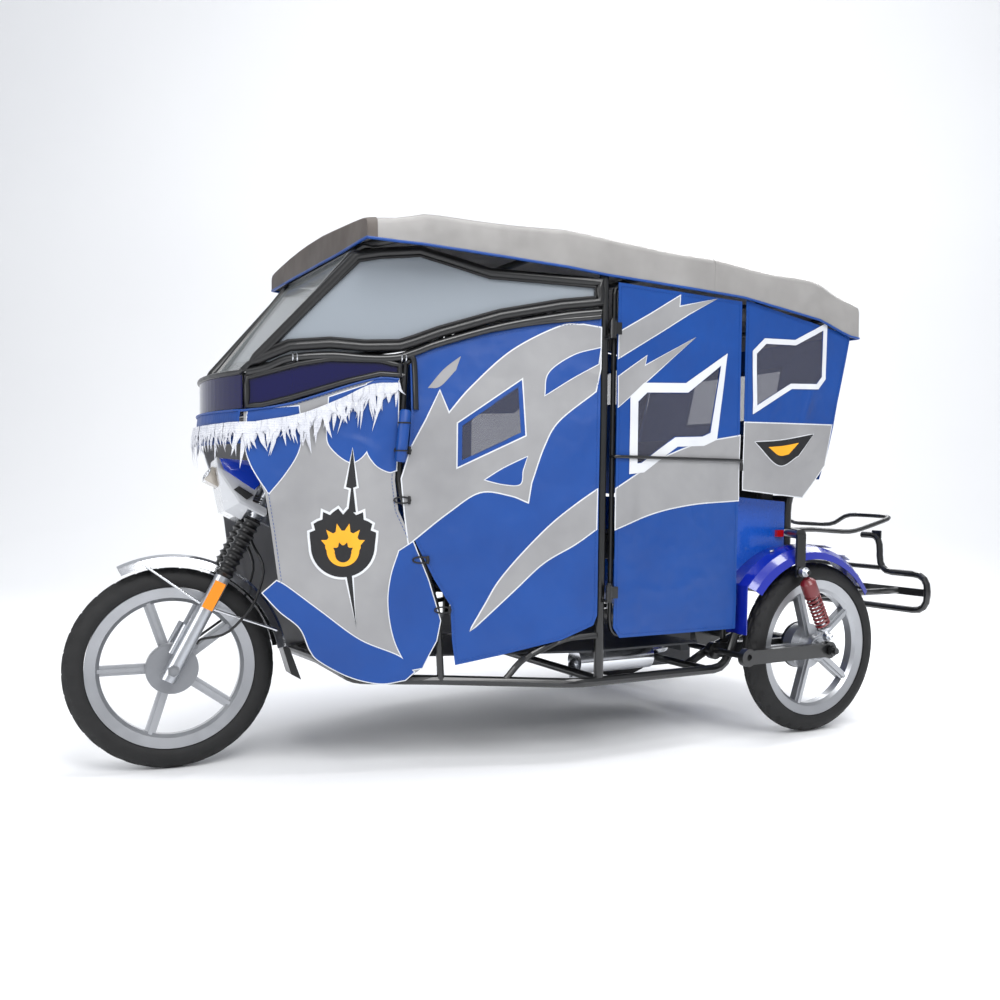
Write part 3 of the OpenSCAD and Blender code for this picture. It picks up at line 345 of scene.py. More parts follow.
# %% Dress the frame
WEARS = {
    "black_tube": "main_frame cabin_frame swing_arms luggage_rack rear_bumper rear_axle"
                  " left_door_frame right_door_frame handlebar",
    "chequer_floor": "floor_pan",
    "tub_paint": "passenger_tub fuel_tank",
    "fender_paint": "rear_fenders",
    "sand_casting": "engine",
    "chrome": "exhaust front_mudguard",
    "polished_alloy": "fork",
    "zinc": "front_axle",
    "wheel_lacquer": "front_rim rear_left_rim rear_right_rim",
    "smoked_glass": "side_glass",
    "clear_glass": "windshield",
    "violet_glass": "tinted_strip",
    "clear_film": "canvas_windows left_door_window right_door_window",
    "red_lens": "tail_lamps",
    "seal_rubber": "glazing_seals fork_boots mud_flap front_cables",
    "gloss_white": "headlight_nacelle",
    "lamp_glass": "headlamp",
    "amber_lens": "fork_reflectors",
}
nodes = {o["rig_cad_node"]: o for o in bpy.context.scene.objects if "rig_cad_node" in o}
for wear, names in WEARS.items():
    for name in names.split():
        node = nodes[name]
        node.data.materials.clear()
        node.data.materials.append(FINISHES[wear])
print(sum(len(n.split()) for n in WEARS.values()), "of", len(nodes), "nodes keep their shape")

# %% [markdown]
# ## Making a sheet from its outline
# A cut sheet is an outline on a flat place, filled with small triangles so that
# it can dent, and given two faces and a rim so that it is real cloth with a
# thickness. A triangulated grid inside the outline is used, because a single
# large face could not take the ripples that sewing leaves in coated canvas.

# %% Sheets
def through(*points, steps=8):
    """A smooth line through the points (Catmull-Rom), sharp only at its two ends."""
    p = [Vector(q) for q in points]
    p = [2 * p[0] - p[1]] + p + [2 * p[-1] - p[-2]]
    line = []
    for a, b, c, d in zip(p, p[1:], p[2:], p[3:]):
        for k in range(steps):
            t = k / steps
            line.append(((2 * b) + (c - a) * t + (2 * a - 5 * b + 4 * c - d) * t * t
                         + (3 * b - a - 3 * c + d) * t ** 3) / 2)
    return line + [p[-2]]


def inside(q, loop):
    hit = False
    for a, b in zip(loop, loop[1:] + loop[:1]):
        if (a[1] > q[1]) != (b[1] > q[1]) and q[0] < a[0] + (q[1] - a[1]) * (b[0] - a[0]) / (b[1] - a[1]):
            hit = not hit
    return hit


def spread(loop, gap):
    """The loop with extra points, no further than gap apart."""
    line = []
    for a, b in zip(loop, loop[1:] + loop[:1]):
        a, b = Vector(a[:2]), Vector(b[:2])
        parts = max(1, math.ceil((b - a).length / gap))
        line += [a + (b - a) * k / parts for k in range(parts)]
    return line


print("outline helpers ready:", [f.__name__ for f in (through, inside, spread)])

# %% [markdown]
# Every piece made here is linked once, dressed once and told which body it
# rides on, so that it turns with its door or its wheel.

# %% Keeping a piece
def keep(name, mesh, finish, body):
    piece = bpy.data.objects.new(name, mesh)
    bpy.context.collection.objects.link(piece)
    mesh.materials.append(FINISHES[finish])
    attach(piece, body)
    return piece


def smooth(mesh, angle=40):
    mesh.shade_smooth()
    mesh.set_sharp_from_angle(angle=math.radians(angle))
    return mesh


def ripple(a, b, seed=0.0):
    """How far coated canvas stands out from its tubes here, in millimetres."""
    broad = noise.noise(Vector((a / 260, b / 190, seed)))
    fold = noise.noise(Vector((a / 90 + b / 260, b / 120 - a / 400, seed + 7)))
    pull = max(0.0, math.sin(a / 31 + b / 74 + 2.4 * noise.noise(Vector((a / 300, b / 300, 11))))) ** 5
    return 2.2 + 2.6 * broad + 1.4 * fold + 2.2 * pull * max(0.0,
        noise.noise(Vector((a / 210, b / 260, 5))) + 0.25)


# %% [markdown]
# The outline is filled, lifted on to its place with the ripples added, and
# given a second face and a rim.

# %% Cutting a sheet
def sheet(name, loop, place, finish, body, out=-3.0, thick=2.0, holes=(), gap=26, mirror=False, wavy=1.0):
    loops = [spread(l, gap) for l in (loop, *holes)]
    points, edges = [], []
    for l in loops:
        base = len(points)
        points += l
        edges += [(base + i, base + (i + 1) % len(l)) for i in range(len(l))]
    low = [min(p[i] for p in loops[0]) for i in (0, 1)]
    high = [max(p[i] for p in loops[0]) for i in (0, 1)]
    for i in range(int((high[0] - low[0]) / gap) + 1):
        for j in range(int((high[1] - low[1]) / gap) + 1):
            q = Vector((low[0] + (i + 0.5 * (j % 2) + 0.25) * gap, low[1] + (j + 0.5) * gap))
            if inside(q, loops[0]) and not any(inside(q, l) for l in loops[1:]):
                points.append(q)
    made = geometry.delaunay_2d_cdt(points, edges, [], 0, 1e-6)
    flat, faces = made[0], made[2]
    faces = [f for f in faces if inside(sum((flat[i] for i in f), Vector((0, 0))) / 3, loops[0])
             and not any(inside(sum((flat[i] for i in f), Vector((0, 0))) / 3, l) for l in loops[1:])]
    side = -1 if mirror else 1
    mesh = bpy.data.meshes.new(name)
    bm = bmesh.new()
    layers = []
    for depth in (0, thick):
        layer = []
        for p in flat:
            v = place(p[0], p[1], out - depth + wavy * ripple(p[0], p[1]))
            layer.append(bm.verts.new((v.x * side, v.y, v.z)))
        layers.append(layer)
    rims = {}
    for f in faces:
        bm.faces.new([layers[0][i] for i in f])
        bm.faces.new([layers[1][i] for i in reversed(f)])
        for a, b in zip(f, f[1:] + f[:1]):
            rims[(a, b)] = rims.get((a, b), 0) + 1
    for a, b in rims:
        if (b, a) not in rims:
            bm.faces.new([layers[0][b], layers[0][a], layers[1][a], layers[1][b]])
    bm.verts.ensure_lookup_table()
    for v in [v for v in bm.verts if not v.link_faces]:
        bm.verts.remove(v)
    bmesh.ops.recalc_face_normals(bm, faces=bm.faces)
    bm.to_mesh(mesh)
    bm.free()
    piece = keep(name, smooth(mesh, 50), finish, body)
    piece["flat_area"] = sum(abs((flat[f[1]] - flat[f[0]]).cross(flat[f[2]] - flat[f[0]]))
        for f in faces) / 2e6
    piece["flat_size"] = [(high[i] - low[i]) / 1000 for i in (0, 1)]
    return piece


def both_sides(name, loop, place, finish, body, **how):
    """The sheet on the left side and its twin on the right."""
    bodies = {"door": ("left_door", "right_door")}.get(body, (body, body))
    return [sheet("left_" + name, loop, place, finish, bodies[0], **how),
            sheet("right_" + name, loop, place, finish, bodies[1], mirror=True, **how)]


def declare(pieces):
    for piece in pieces:
        tuple(piece["flat_size"])
        (piece["flat_area"] if piece["flat_area"] >= 0.3 * piece["flat_size"][0]
                 * piece["flat_size"][1] else None)


print("ripple stands out", [round(ripple(a, 900), 1) for a in (0, 200, 400)], "mm")

# %% [markdown]
# ## Hoses, piping and stitches
# Round things that follow a line (gaskets, piping, springs, cables) are rings
# swept along it. `hose` carries its ring frame along the line, so it never
# twists.

# %% Swept pieces
def hose_into(bm, line, radius, sides=10, closed=False, flat=1.0):
    n = len(line)
    normal = None
    rings = []
    for i, p in enumerate(line):
        ahead = line[(i + 1) % n] if closed or i < n - 1 else p
        behind = line[i - 1] if closed or i > 0 else p
        along = (ahead - behind).normalized()
        if normal is None:
            normal = along.orthogonal().normalized()
        normal = (normal - along * normal.dot(along)).normalized()
        across = along.cross(normal)
        r = radius(i / max(1, n - 1)) if callable(radius) else radius
        rings.append([bm.verts.new(p + r * (normal * math.cos(a) + across * math.sin(a) * flat))
                      for a in (2 * math.pi * k / sides for k in range(sides))])
    for i in range(n if closed else n - 1):
        one, two = rings[i], rings[(i + 1) % n]
        for k in range(sides):
            bm.faces.new([one[k], one[(k + 1) % sides], two[(k + 1) % sides], two[k]])
    if not closed:
        bm.faces.new(list(reversed(rings[0])))
        bm.faces.new(rings[-1])


def swept(name, lines, radius, finish, body, sides=10, closed=False):
    mesh = bpy.data.meshes.new(name)
    bm = bmesh.new()
    for line in lines:
        hose_into(bm, line, radius, sides, closed)
    bmesh.ops.recalc_face_normals(bm, faces=bm.faces)
    bm.to_mesh(mesh)
    bm.free()
    return keep(name, smooth(mesh), finish, body)


def flipped(line):
    return [Vector((-p.x, p.y, p.z)) for p in line]


def turned(name, profile, centre, axis, finish, body, steps=48, smoothing=35):
    """A shape turned on a lathe: profile is (distance along the axis, radius) in mm."""
    mesh = bpy.data.meshes.new(name)
    bm = bmesh.new()
    lathe_into(bm, profile, centre, axis, steps)
    bm.to_mesh(mesh)
    bm.free()
    return keep(name, smooth(mesh, smoothing), finish, body)


def lathe_into(bm, profile, centre, axis, steps=48):
    axis = Vector(axis).normalized()
    normal = axis.orthogonal().normalized()
    across = axis.cross(normal)
    rings = []
    for along, radius in profile:
        rings.append([bm.verts.new(centre + axis * along / 1000 + (
            normal * math.cos(a) + across * math.sin(a)) * max(radius, 0.01) / 1000)
            for a in (2 * math.pi * k / steps for k in range(steps))])
    for one, two in zip(rings, rings[1:]):
        for k in range(steps):
            bm.faces.new([one[k], one[(k + 1) % steps], two[(k + 1) % steps], two[k]])
    bm.faces.new(list(reversed(rings[0])))
    bm.faces.new(rings[-1])


print("sweeps and lathe ready")

# %% [markdown]
# ## The side canvases
# Each CAD canvas is a plain slab that holds the collision. The real one is a
# sewn sheet with bright panels welded on: silver bands with white edges. A
# painted picture could do this, but real layers catch the light at their rims
# and keep sharp edges at any distance, so each band is its own thin sheet,
# lying 1 mm proud of the one below and rippling with it.

# %% Outlines of the sheets
APRON = [(0, 940), (58, 811), (74, 710), (93, 568), (49, 534), (98, 477), (154, 430), (182, 366), (210, 331),
         (294, 284), (380, 262), (453, 270), (502, 305), (520, 343), (543, 386), (554, 445), (518, 564),
         (471, 681), (430, 769), (420, 855), (428, 1000), (430, 1146), (376, 1150), (291, 1127), (125, 1070),
         (50, 1048), (0, 1044)]
APRON = [(NOSE_LENGTH - s, z) for s, z in APRON]
DRIVER = [(NOSE_LENGTH - s, z) for s, z in (
    (476, 1216), (519, 1234), (612, 1272), (818, 1320), (1035, 1350), (1035, 452), (1023, 421), (922, 378),
    (737, 337), (600, 311), (590, 385), (584, 489), (537, 564), (485, 667), (449, 754), (439, 856),
    (462, 972), (466, 1058), (462, 1190))]
DRIVER_WINDOW = [(NOSE_LENGTH - s, z) for s, z in ((612, 1019), (784, 1140), (794, 1000), (612, 912))]
DOOR = [(178, 1464), (673, 1458), (673, 378), (202, 378), (178, 410)]
DOOR_WINDOW = [(y + 168, z) for y, z in ((75, 902), (75, 1115), (118, 1152), (280, 1161), (432, 1262),
                                         (392, 1013), (350, 996), (240, 990), (110, 906))]
QUARTER = [(692, 1464), (1181, 1390), (1109, 1072), (1073, 941), (1007, 859), (965, 814), (692, 842)]
QUARTER_WINDOW = [(743, 1118), (739, 1294), (781, 1331), (917, 1337), (1047, 1400), (1047, 1236),
                  (1021, 1208), (899, 1202)]


def shrunk(loop, by):
    """The loop moved inwards by some millimetres."""
    n = len(loop)
    turn = sum(loop[i][0] * loop[(i + 1) % n][1] - loop[(i + 1) % n][0] * loop[i][1] for i in range(n))
    made = []
    for i in range(n):
        a, b, c = (Vector(loop[(i + k) % n][:2]) for k in (-1, 0, 1))
        n1, n2 = (Vector((-(q - p).y, (q - p).x)).normalized() for p, q in ((a, b), (b, c)))
        mitre = (n1 + n2) / max(0.5, 1 + n1.dot(n2))
        made.append(tuple(b + mitre * by * (1 if turn > 0 else -1)))
    return made


base = both_sides("apron", APRON, on_nose, "silver_canvas", "chassis")
base += both_sides("driver_canvas", DRIVER, on_nose, "blue_canvas", "chassis",
    holes=[shrunk(DRIVER_WINDOW, 3)])
base += both_sides("door_sheet", DOOR, on_side, "blue_canvas", "door", out=2.0,
    holes=[shrunk(DOOR_WINDOW, 16)])
base += both_sides("quarter_canvas", QUARTER, on_side, "blue_canvas", "chassis", out=2.0,
                   holes=[shrunk(QUARTER_WINDOW, 3)])
for pieces, node in zip((base[0:2], base[2:4], base[6:8]),
    ("front_aprons", "driver_canvases", "quarter_canvases")):
    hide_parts(node)
for piece, node in zip(base[4:6], ("left_door_canvas", "right_door_canvas")):
    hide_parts(node)
declare(base[:4] + base[6:])
declare(base[4:5])
declare(base[5:6])
print("sheets cut:", {p.name: round(p["flat_area"], 3) for p in base[::2]}, "square metres")

# %% [markdown]
# ## Bands, bolts and blades
# The bright shapes are cut freehand with a knife, so their edges are long easy
# curves that end in sharp tips. Each is drawn as a few smooth lines joined at
# the tips. A slightly larger white copy under each one leaves its white edge.

# %% Bright shapes
SILVER, WHITE, BLUE, BLACK, YELLOW = ("silver_canvas", "white_vinyl", "blue_canvas", "black_vinyl",
    "yellow_vinyl")


def bright(name, loop, place, colour, body, level, edge=0.0, holes=()):
    """A welded-on shape at its level above the sheet, with a white edge if asked."""
    ground = -3.0 if place is on_nose else 2.0
    loop = [tuple(p) for p in loop]
    if edge:
        both_sides(name + "_edge", shrunk(loop, -edge), place, WHITE, body, out=ground + level,
                   thick=0.8, holes=[shrunk(h, edge) for h in holes])
        level += 0.7
    both_sides(name, loop, place, colour, body, out=ground + level, thick=0.8, holes=holes)


# driver's sheet: a broad silver sweep round the window, a blade at the bottom, small darts and a silver
# painted highlight
sweep = (through((578, 672), (464, 764), (370, 824), (280, 816), (225, 796))
         + through((216, 853), (178, 964), (132, 1042), (20, 1132))
         + through((6, 1200), (6, 1322)) + through((60, 1328), (136, 1318), (278, 1241), (397, 1131),
         (464, 1051))
         + [Vector((491, 1116))] + through((530, 1030), (571, 952)) + [Vector((599, 860)),
         Vector((589, 756))])
bright("driver_sweep", sweep, on_nose, SILVER, "chassis", 1.0, 4, [shrunk(DRIVER_WINDOW, -14)])
bright("driver_slot", through((176, 1115), (165, 1181), (90, 1236), (6, 1262)) + through((12, 1214), (90,
    1170),
       (176, 1115))[:-1], on_nose, BLUE, "chassis", 2.6, 3)
bright("driver_dart", through((355, 860), (300, 895), (229, 930)) + through((242, 890), (250, 849), (300,
    848),
       (355, 860))[:-1], on_nose, BLUE, "chassis", 2.6, 3)
# A silver patch where light glints on the blue sheet: a painted highlight.
bright("driver_glint", through((526, 1124), (480, 1180), (430, 1220)) + through((444, 1179), (490, 1130),
       (526, 1124))[:-1], on_nose, SILVER, "chassis", 1.0)
bright("driver_blade", through((396, 412), (350, 490), (310, 557), (240, 640), (153, 727), (80, 785), (10,
    834))
       + through((12, 716), (78, 670), (176, 613), (270, 527), (396, 412))[:-1], on_nose, SILVER,
       "chassis", 1.0, 4)

# door: two forked bolts at the top and a band that carries on from the blade
bright("door_bolt", [(184, 1238), (184, 1314), (300, 1380), (413, 1448), (410, 1413), (568, 1456),
    (450, 1396),
       (337, 1328)], on_side, SILVER, "door", 1.0, 3.5)
bright("door_small_bolt", [(184, 1090), (184, 1180), (288, 1250), (281, 1219), (481, 1325), (330, 1206)],
       on_side, SILVER, "door", 1.0, 3.5)
bright("door_band", through((180, 838), (349, 931), (500, 985), (672, 1017)) + through((672, 806),
    (481, 793),
       (322, 764), (180, 716)), on_side, SILVER, "door", 1.0, 4)
bright("door_window_border", shrunk(DOOR_WINDOW, -16), on_side, WHITE, "door", 2.2, 0,
    [shrunk(DOOR_WINDOW, 14)])

# rear quarter: the band dies away below the window, with a plain leaf on it
bright("quarter_band", through((694, 1062), (880, 1066), (1098, 1070)) + through((1066, 930), (1004, 862),
    (962, 818))
       + [Vector((694, 842))], on_side, SILVER, "chassis", 1.0, 4)
bright("quarter_leaf", through((742, 1000), (860, 1010), (1010, 1036)) + through((940, 960), (850, 925),
    (742, 1000))
       [:-1], on_side, BLACK, "chassis", 2.6, 3)
bright("quarter_leaf_heart", through((800, 985), (870, 992), (940, 1004)) + through((900, 965), (850, 958),
       (800, 985))[1:-1], on_side, YELLOW, "chassis", 4.2)
bright("quarter_window_border", shrunk(QUARTER_WINDOW, -16), on_side, WHITE, "chassis", 2.2, 0,
       [shrunk(QUARTER_WINDOW, 2)])

# %% [markdown]
# ## The apron's shapes
# Blue lobes hang under the fringe, a blue sweep runs along the foot, and a
# round badge sits in the middle: a black disc with a jagged crown, a yellow
# flame inside, a spike above and a blade below. Its outline still follows the
# badge on the real vehicle, and only the letter inside it is left out.

# %% Apron shapes
def ring(centre, radius, crown=0.0, teeth=0, steps=48, low=0.0):
    """A round outline whose upper half may rise in teeth."""
    loop = []
    for k in range(steps):
        a = 2 * math.pi * k / steps
        up = max(0.0, math.sin(a) - low)
        tooth = abs((a * teeth / math.pi) % 1 - 0.5) * 2 if teeth else 0
        r = radius + crown * up ** 0.5 * tooth if up else radius
        loop.append((centre[0] + r * math.cos(a), centre[1] + r * math.sin(a)))
    return loop


bright("apron_front_lobe", through((1028, 1046), (1034, 950), (1022, 900), (1000, 858), (971,
    814)) + through(
       (971, 814), (927, 870), (893, 928), (882, 985), (890, 1060))[1:], on_nose, BLUE, "chassis", 1.0, 3)
bright("apron_middle_lobe", through((806, 1088), (812, 990), (800, 945), (745, 905), (702, 935), (690, 985),
       (698, 1128)), on_nose, BLUE, "chassis", 1.0, 3)
bright("apron_rear_lobe", through((700, 1130), (704, 965), (680, 905), (640, 880), (616, 884)) + [
       Vector((612, 1000)), Vector((611, 1146)), Vector((662, 1149))], on_nose, BLUE, "chassis", 1.6, 3)
bright("apron_foot", through((988, 532), (941, 479), (885, 430), (857, 366), (829, 333), (745, 286),
    (659, 264),
       (586, 272)) + through((561, 294), (602, 340), (717, 392), (830, 478), (920, 548), (950, 566)),
       on_nose, BLUE,
       "chassis", 1.0, 3)
bright("apron_heel", through((606, 650), (629, 574), (636, 490), (618, 390), (575, 300)) + [
       Vector((537, 306)), Vector((519, 343)), Vector((496, 386)), Vector((485, 445)), Vector((521, 564)),
       Vector((566, 676))], on_nose, BLUE, "chassis", 1.6, 3)
bright("badge_disc", ring((766, 665), 90, 24, 15), on_nose, BLACK, "chassis", 1.8, 7)
bright("badge_flame", ring((766, 652), 46, 34, 7, 42), on_nose, YELLOW, "chassis", 3.4)
bright("badge_heart", ring((766, 640), 22, 16, 5, 30), on_nose, BLACK, "chassis", 4.2)
bright("badge_spike", [(752, 760), (744, 830), (758, 834), (740, 945), (728, 836), (738, 832), (730,
    762)], on_nose,
       BLACK, "chassis", 1.8, 6)
bright("badge_blade", [(752, 590), (742, 596), (728, 430), (758, 588)], on_nose, BLACK, "chassis", 1.2, 6)

# %% [markdown]
# ## The brow, the fur fringe and the blue piping
# Across the nose, under the dark strip, runs a short brow panel. The fur fringe
# is sewn along it and back along both aprons. Each lock of fur is a tapering
# blade with its own length and lean: a few hundred of them, in one mesh,
# read as fur where a jagged flat strip would read as paper.

# %% Brow and fringe
def bow(x):
    return -865 - 8 - 42 * (1 - (x / 250) ** 2)


def fringe_line():
    side = [(609, 1122), (689, 1114), (773, 1072), (884, 1026), (1010, 1000)]
    left = [on_nose(p.x, p.y, 2) for p in through(*side, steps=10)]
    front = [at(x, bow(x) - 10, 994 + 4 * (abs(x) / 250) ** 2) for x in [240 - 15 * k for k in range(33)]]
    return left + front + flipped(reversed(left))


def fur_into(bm, line, rng):
    for a, b in zip(line, line[1:]):
        count = max(2, round((b - a).length / 0.0034))
        for k in range(count):
            root = a.lerp(b, (k + rng.random()) / count)
            along = (b - a).normalized()
            outward = along.cross(Vector((0, 0, 1))).normalized()
            if outward.dot(root - Vector((0, root.y + 0.15, root.z))) < 0:
                outward = -outward
            long = 0.022 + 0.05 * rng.random() ** 1.6 + (0.055 if rng.random() < 0.10 else 0)
            wide = 0.0042 + 0.004 * rng.random()
            lean = along * rng.uniform(-0.02, 0.02)
            depth = 0.001 + 0.006 * rng.random()
            verts = []
            for drop, half in ((0.014, 0.7), (-0.25 * long, 1.0), (-0.62 * long, 0.7)):
                t = max(0.0, -drop / long)
                mid = root + Vector((0, 0,
                    drop)) + lean * t ** 1.4 + outward * (depth + 0.006 * math.sin(2.4 * t))
                verts.append([bm.verts.new(mid - along * wide * half),
                    bm.verts.new(mid + outward * 0.0022 * half),
                              bm.verts.new(mid + along * wide * half)])
            tip = bm.verts.new(root + Vector((0, 0, -long)) + lean * 1.2 + outward * (depth + 0.002))
            for one, two in zip(verts, verts[1:]):
                for i in range(3):
                    bm.faces.new([one[i], one[(i + 1) % 3], two[(i + 1) % 3], two[i]])
            for i in range(3):
                bm.faces.new([verts[-1][i], verts[-1][(i + 1) % 3], tip])
            bm.faces.new(list(reversed(verts[0])))


fringe = fringe_line()
fur_mesh = bpy.data.meshes.new("fur_fringe")
bm = bmesh.new()
fur_into(bm, fringe, random.Random(4))
bmesh.ops.recalc_face_normals(bm, faces=bm.faces)
bm.to_mesh(fur_mesh)
bm.free()
keep("fur_fringe", fur_mesh, "white_fur", "chassis")
print("fringe:", len(fur_mesh.polygons), "faces over",
    round(sum((b - a).length for a, b in zip(fringe, fringe[1:])), 2), "m")

# %% [markdown]
# A short panel follows the bow of the nose, a little in front of its tubes.

# %% Brow panel
brow_line = [(x, bow(x) - 4) for x in [250 - 12.5 * k for k in range(41)]]
brow = bpy.data.meshes.new("brow_panel")
bm = bmesh.new()
rows = [[bm.verts.new(at(x, y + d, z)) for x, y in brow_line] for d, z in (
    (0, 1046), (-3, 1020), (-3, 980), (2, 952), (5, 952), (0, 980), (0, 1020), (3, 1046))]
for one, two in zip(rows, rows[1:] + rows[:1]):
    for i in range(len(brow_line) - 1):
        bm.faces.new([one[i], one[i + 1], two[i + 1], two[i]])
for i in (0, -1):
    bm.faces.new([r[i] for r in rows])
bmesh.ops.recalc_face_normals(bm, faces=bm.faces)
bm.to_mesh(brow)
bm.free()
keep("brow_panel", smooth(brow), BLUE, "chassis")

print("brow panel:", len(brow.polygons), "faces")

# %% [markdown]
# A blue cord closes the top edge of both aprons and the brow.

# %% Apron piping
hem = [on_nose(p.x, p.y, 2.5) for p in through((609, 1146), (663, 1147), (748, 1124), (914, 1067), (1039,
    1044))]
front_hem = [at(x, bow(x) - 6, 1044) for x in [240 - 20 * k for k in range(25)]]
swept("apron_piping", [hem + front_hem + flipped(reversed(hem))], 0.0035, "blue_canvas", "chassis", 8)
print("piping sewn along", len(hem) * 2 + len(front_hem), "places")

# %% [markdown]
# ## The roof cover
# The roof is one vinyl cover drawn over the hoops, so it is made as one skin:
# a section across the vehicle, carried along it from hoop to hoop. Between two
# hoops the cover sags a little, which is what tells the eye that it is soft.

# %% Roof cover
SLICES = [(-579, 460, 1572), (-420, 496, 1600), (0, 570, 1597), (557, 580, 1579), (1000, 582, 1562),
    (1209, 580, 1496)]
HEM = [(-595, 1518), (-420, 1512), (-290, 1505), (125, 1481), (666, 1470), (1019, 1429), (1163, 1387),
    (1223, 1382)]
HOOPS = (-579, -420, 0, 557, 1000, 1209)


def between(table, y, k=1):
    for one, two in zip(table, table[1:]):
        if y <= two[0]:
            t = max(0.0, (y - one[0]) / (two[0] - one[0]))
            return one[k] + (two[k] - one[k]) * t
    return table[-1][k]


def sag(y):
    for a, b in zip(HOOPS, HOOPS[1:]):
        if a <= y <= b:
            return 5.0 * math.sin(math.pi * (y - a) / (b - a)) ** 2
    return 0.0


print("roof edge at the doors:", round(between(SLICES, 125, 2)), "mm up")

# %% [markdown]
# One row of points is one section of the cover, from hem to hem.

# %% Sections of the roof
def roof_row(y, grow, drop=0.0, flat=False):
    w, z, hem = between(SLICES, y), between(SLICES, y, 2) - sag(y), between(HEM, y)
    half = [(w + grow, hem), (w + grow, hem + 0.5 * (z - 18 - hem)), (w + grow, z - 18),
        (w + grow - 3, z - 7),
            (w - 12 + grow * 0.5, z + grow * 0.7)]
    half += [(w * t, z + 28 * (1 - t ** 1.8) + grow) for t in (0.9, 0.75, 0.55, 0.35, 0.15)]
    section = [(-x, h) for x, h in half] + [(x, h) for x, h in reversed(half)]
    row = []
    for i, (x, h) in enumerate(section):
        fold = 2.6 * noise.noise(Vector((x / 150, y / 170, h / 120))) if 2 < i < len(section) - 3 else \
            2.6 * noise.noise(Vector((y / 70 + h / 120, h / 90, 3)))
        h = hem + (h - hem) * drop if flat else h
        row.append(at(x + (fold if i < 3 else -fold if i > len(section) - 4 else 0), y, h + (
            fold if 2 < i < len(section) - 3 else 0)))
    return row


def roof_rows(y0, y1, grow, step=38):
    rows = []
    if y0 < -570:
        rows += [roof_row(y0 - grow - 4, grow, k, True) for k in (0, 0.35, 0.7, 0.93)]
    n = max(2, round((y1 - y0) / step))
    rows += [roof_row(y0 + (y1 - y0) * k / n, grow) for k in range(n + 1)]
    if y1 > 1200:
        rows += [roof_row(y1 + grow + 4, grow, k, True) for k in (0.93, 0.7, 0.35, 0)]
    return rows


def skin(name, outer, inner, finish, body, closed=False, angle=40):
    """Two matching grids of points joined at their borders into one closed skin."""
    mesh = bpy.data.meshes.new(name)
    bm = bmesh.new()
    grids = [[[bm.verts.new(p) for p in row] for row in rows] for rows in (outer, inner)]
    n, m = len(outer), len(outer[0])
    for g, rows in enumerate(grids):
        for i in range(n - 1):
            for j in range(m if closed else m - 1):
                k = (j + 1) % m
                face = [rows[i][j], rows[i][k], rows[i + 1][k], rows[i + 1][j]]
                bm.faces.new(face if g else list(reversed(face)))
    for i in (0, n - 1):
        for j in range(m if closed else m - 1):
            k = (j + 1) % m
            bm.faces.new([grids[0][i][j], grids[0][i][k], grids[1][i][k], grids[1][i][j]])
    for j in () if closed else (0, m - 1):
        for i in range(n - 1):
            bm.faces.new([grids[0][i][j], grids[0][i + 1][j], grids[1][i + 1][j], grids[1][i][j]])
    bmesh.ops.recalc_face_normals(bm, faces=bm.faces)
    bm.to_mesh(mesh)
    bm.free()
    return keep(name, smooth(mesh, angle), finish, body)


def grid_area(rows):
    return sum((b - a).cross(c - a).length / 2 + (d - c).cross(b - c).length / 2
               for one, two in zip(rows, rows[1:]) for a, b, c, d in zip(one, one[1:], two, two[1:]))

# %% [markdown]
# The cover, its front band darkened with painted shade, the seam and the blue cord in the hem.

# %% Laying the roof
roof_skin = roof_rows(-579, 1209, 0.0)
roof = skin("roof_cover", roof_skin, roof_rows(-579, 1209, -2.2), "roof_canvas", "chassis")
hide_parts("roof_canopy")
across = sum((b - a).length for a, b in zip(roof_skin[14], roof_skin[14][1:]))
along = 1.788 + 0.05 + 0.11
min(grid_area(roof_skin), across * along)
# The front band's dark tone is painted shade.
skin("roof_visor", roof_rows(-579, -556, 1.6, 12), roof_rows(-579, -556, 0.6, 12), "visor_painted_shade", "chassis")
skin("roof_seam", roof_rows(548, 566, 1.4, 9), roof_rows(548, 566, 0.4, 9), "roof_canvas", "chassis")
hem_line = [r[0] for r in roof_skin[4:-4]]
loop = hem_line + list(roof_skin[-1]) + list(reversed([r[-1] for r in roof_skin[4:-4]])) + list(
    reversed(roof_skin[0]))
swept("roof_piping", [loop], 0.0042, "blue_canvas", "chassis", 8, True)
print("roof cover:", round(across, 2), "m across,", round(grid_area(roof_skin), 2), "square metres")

# %% [markdown]
# ## The back sheet
# It hangs from the last hoop, slopes in to the tub and has one clear window.

# %% Back sheet
BACK = [(1181, 1394), (1109, 1072), (1073, 941), (1049, 880)]


def on_back(x, down, out):
    for one, two in zip(BACK, BACK[1:]):
        run = Vector(two) - Vector(one)
        if down <= run.length or two == BACK[-1]:
            p = Vector(one) + run.normalized() * down
            normal = Vector((-run.y, run.x)).normalized()
            p += normal * out
            return at(x, p.x, p.y)
        down -= run.length


drop = sum((Vector(b) - Vector(a)).length for a, b in zip(BACK, BACK[1:]))
back = sheet("back_canvas", [(-565, 0), (565, 0), (565, drop), (-565, drop)], on_back, "blue_canvas",
    "chassis",
             out=-1.5, holes=[[(-252, 105), (252, 105), (252, 290), (-252, 290)]], wavy=0.8)
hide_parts("rear_canvas")
declare([back])
sheet("back_band", [(-560, 335), (-300, 320), (0, 338), (300, 320), (560, 335), (560, 470), (0, 440),
    (-560, 470)],
      on_back, "silver_canvas", "chassis", out=-0.4, thick=0.8, wavy=0.8)
print("back sheet hangs", round(drop), "mm")

# %% [markdown]
# ## Tyres
# A block tread is what makes a tyre a tyre. The section is swung round the
# axle in small steps, and the rows in a groove are let down by a few
# millimetres, so the blocks are real and the silhouette shows them.

# %% Tyres
FRONT_HUB, SPIN = at(-5.91, -1012.61, 294.79), Vector((0.98902, -0.13051, 0.06939))


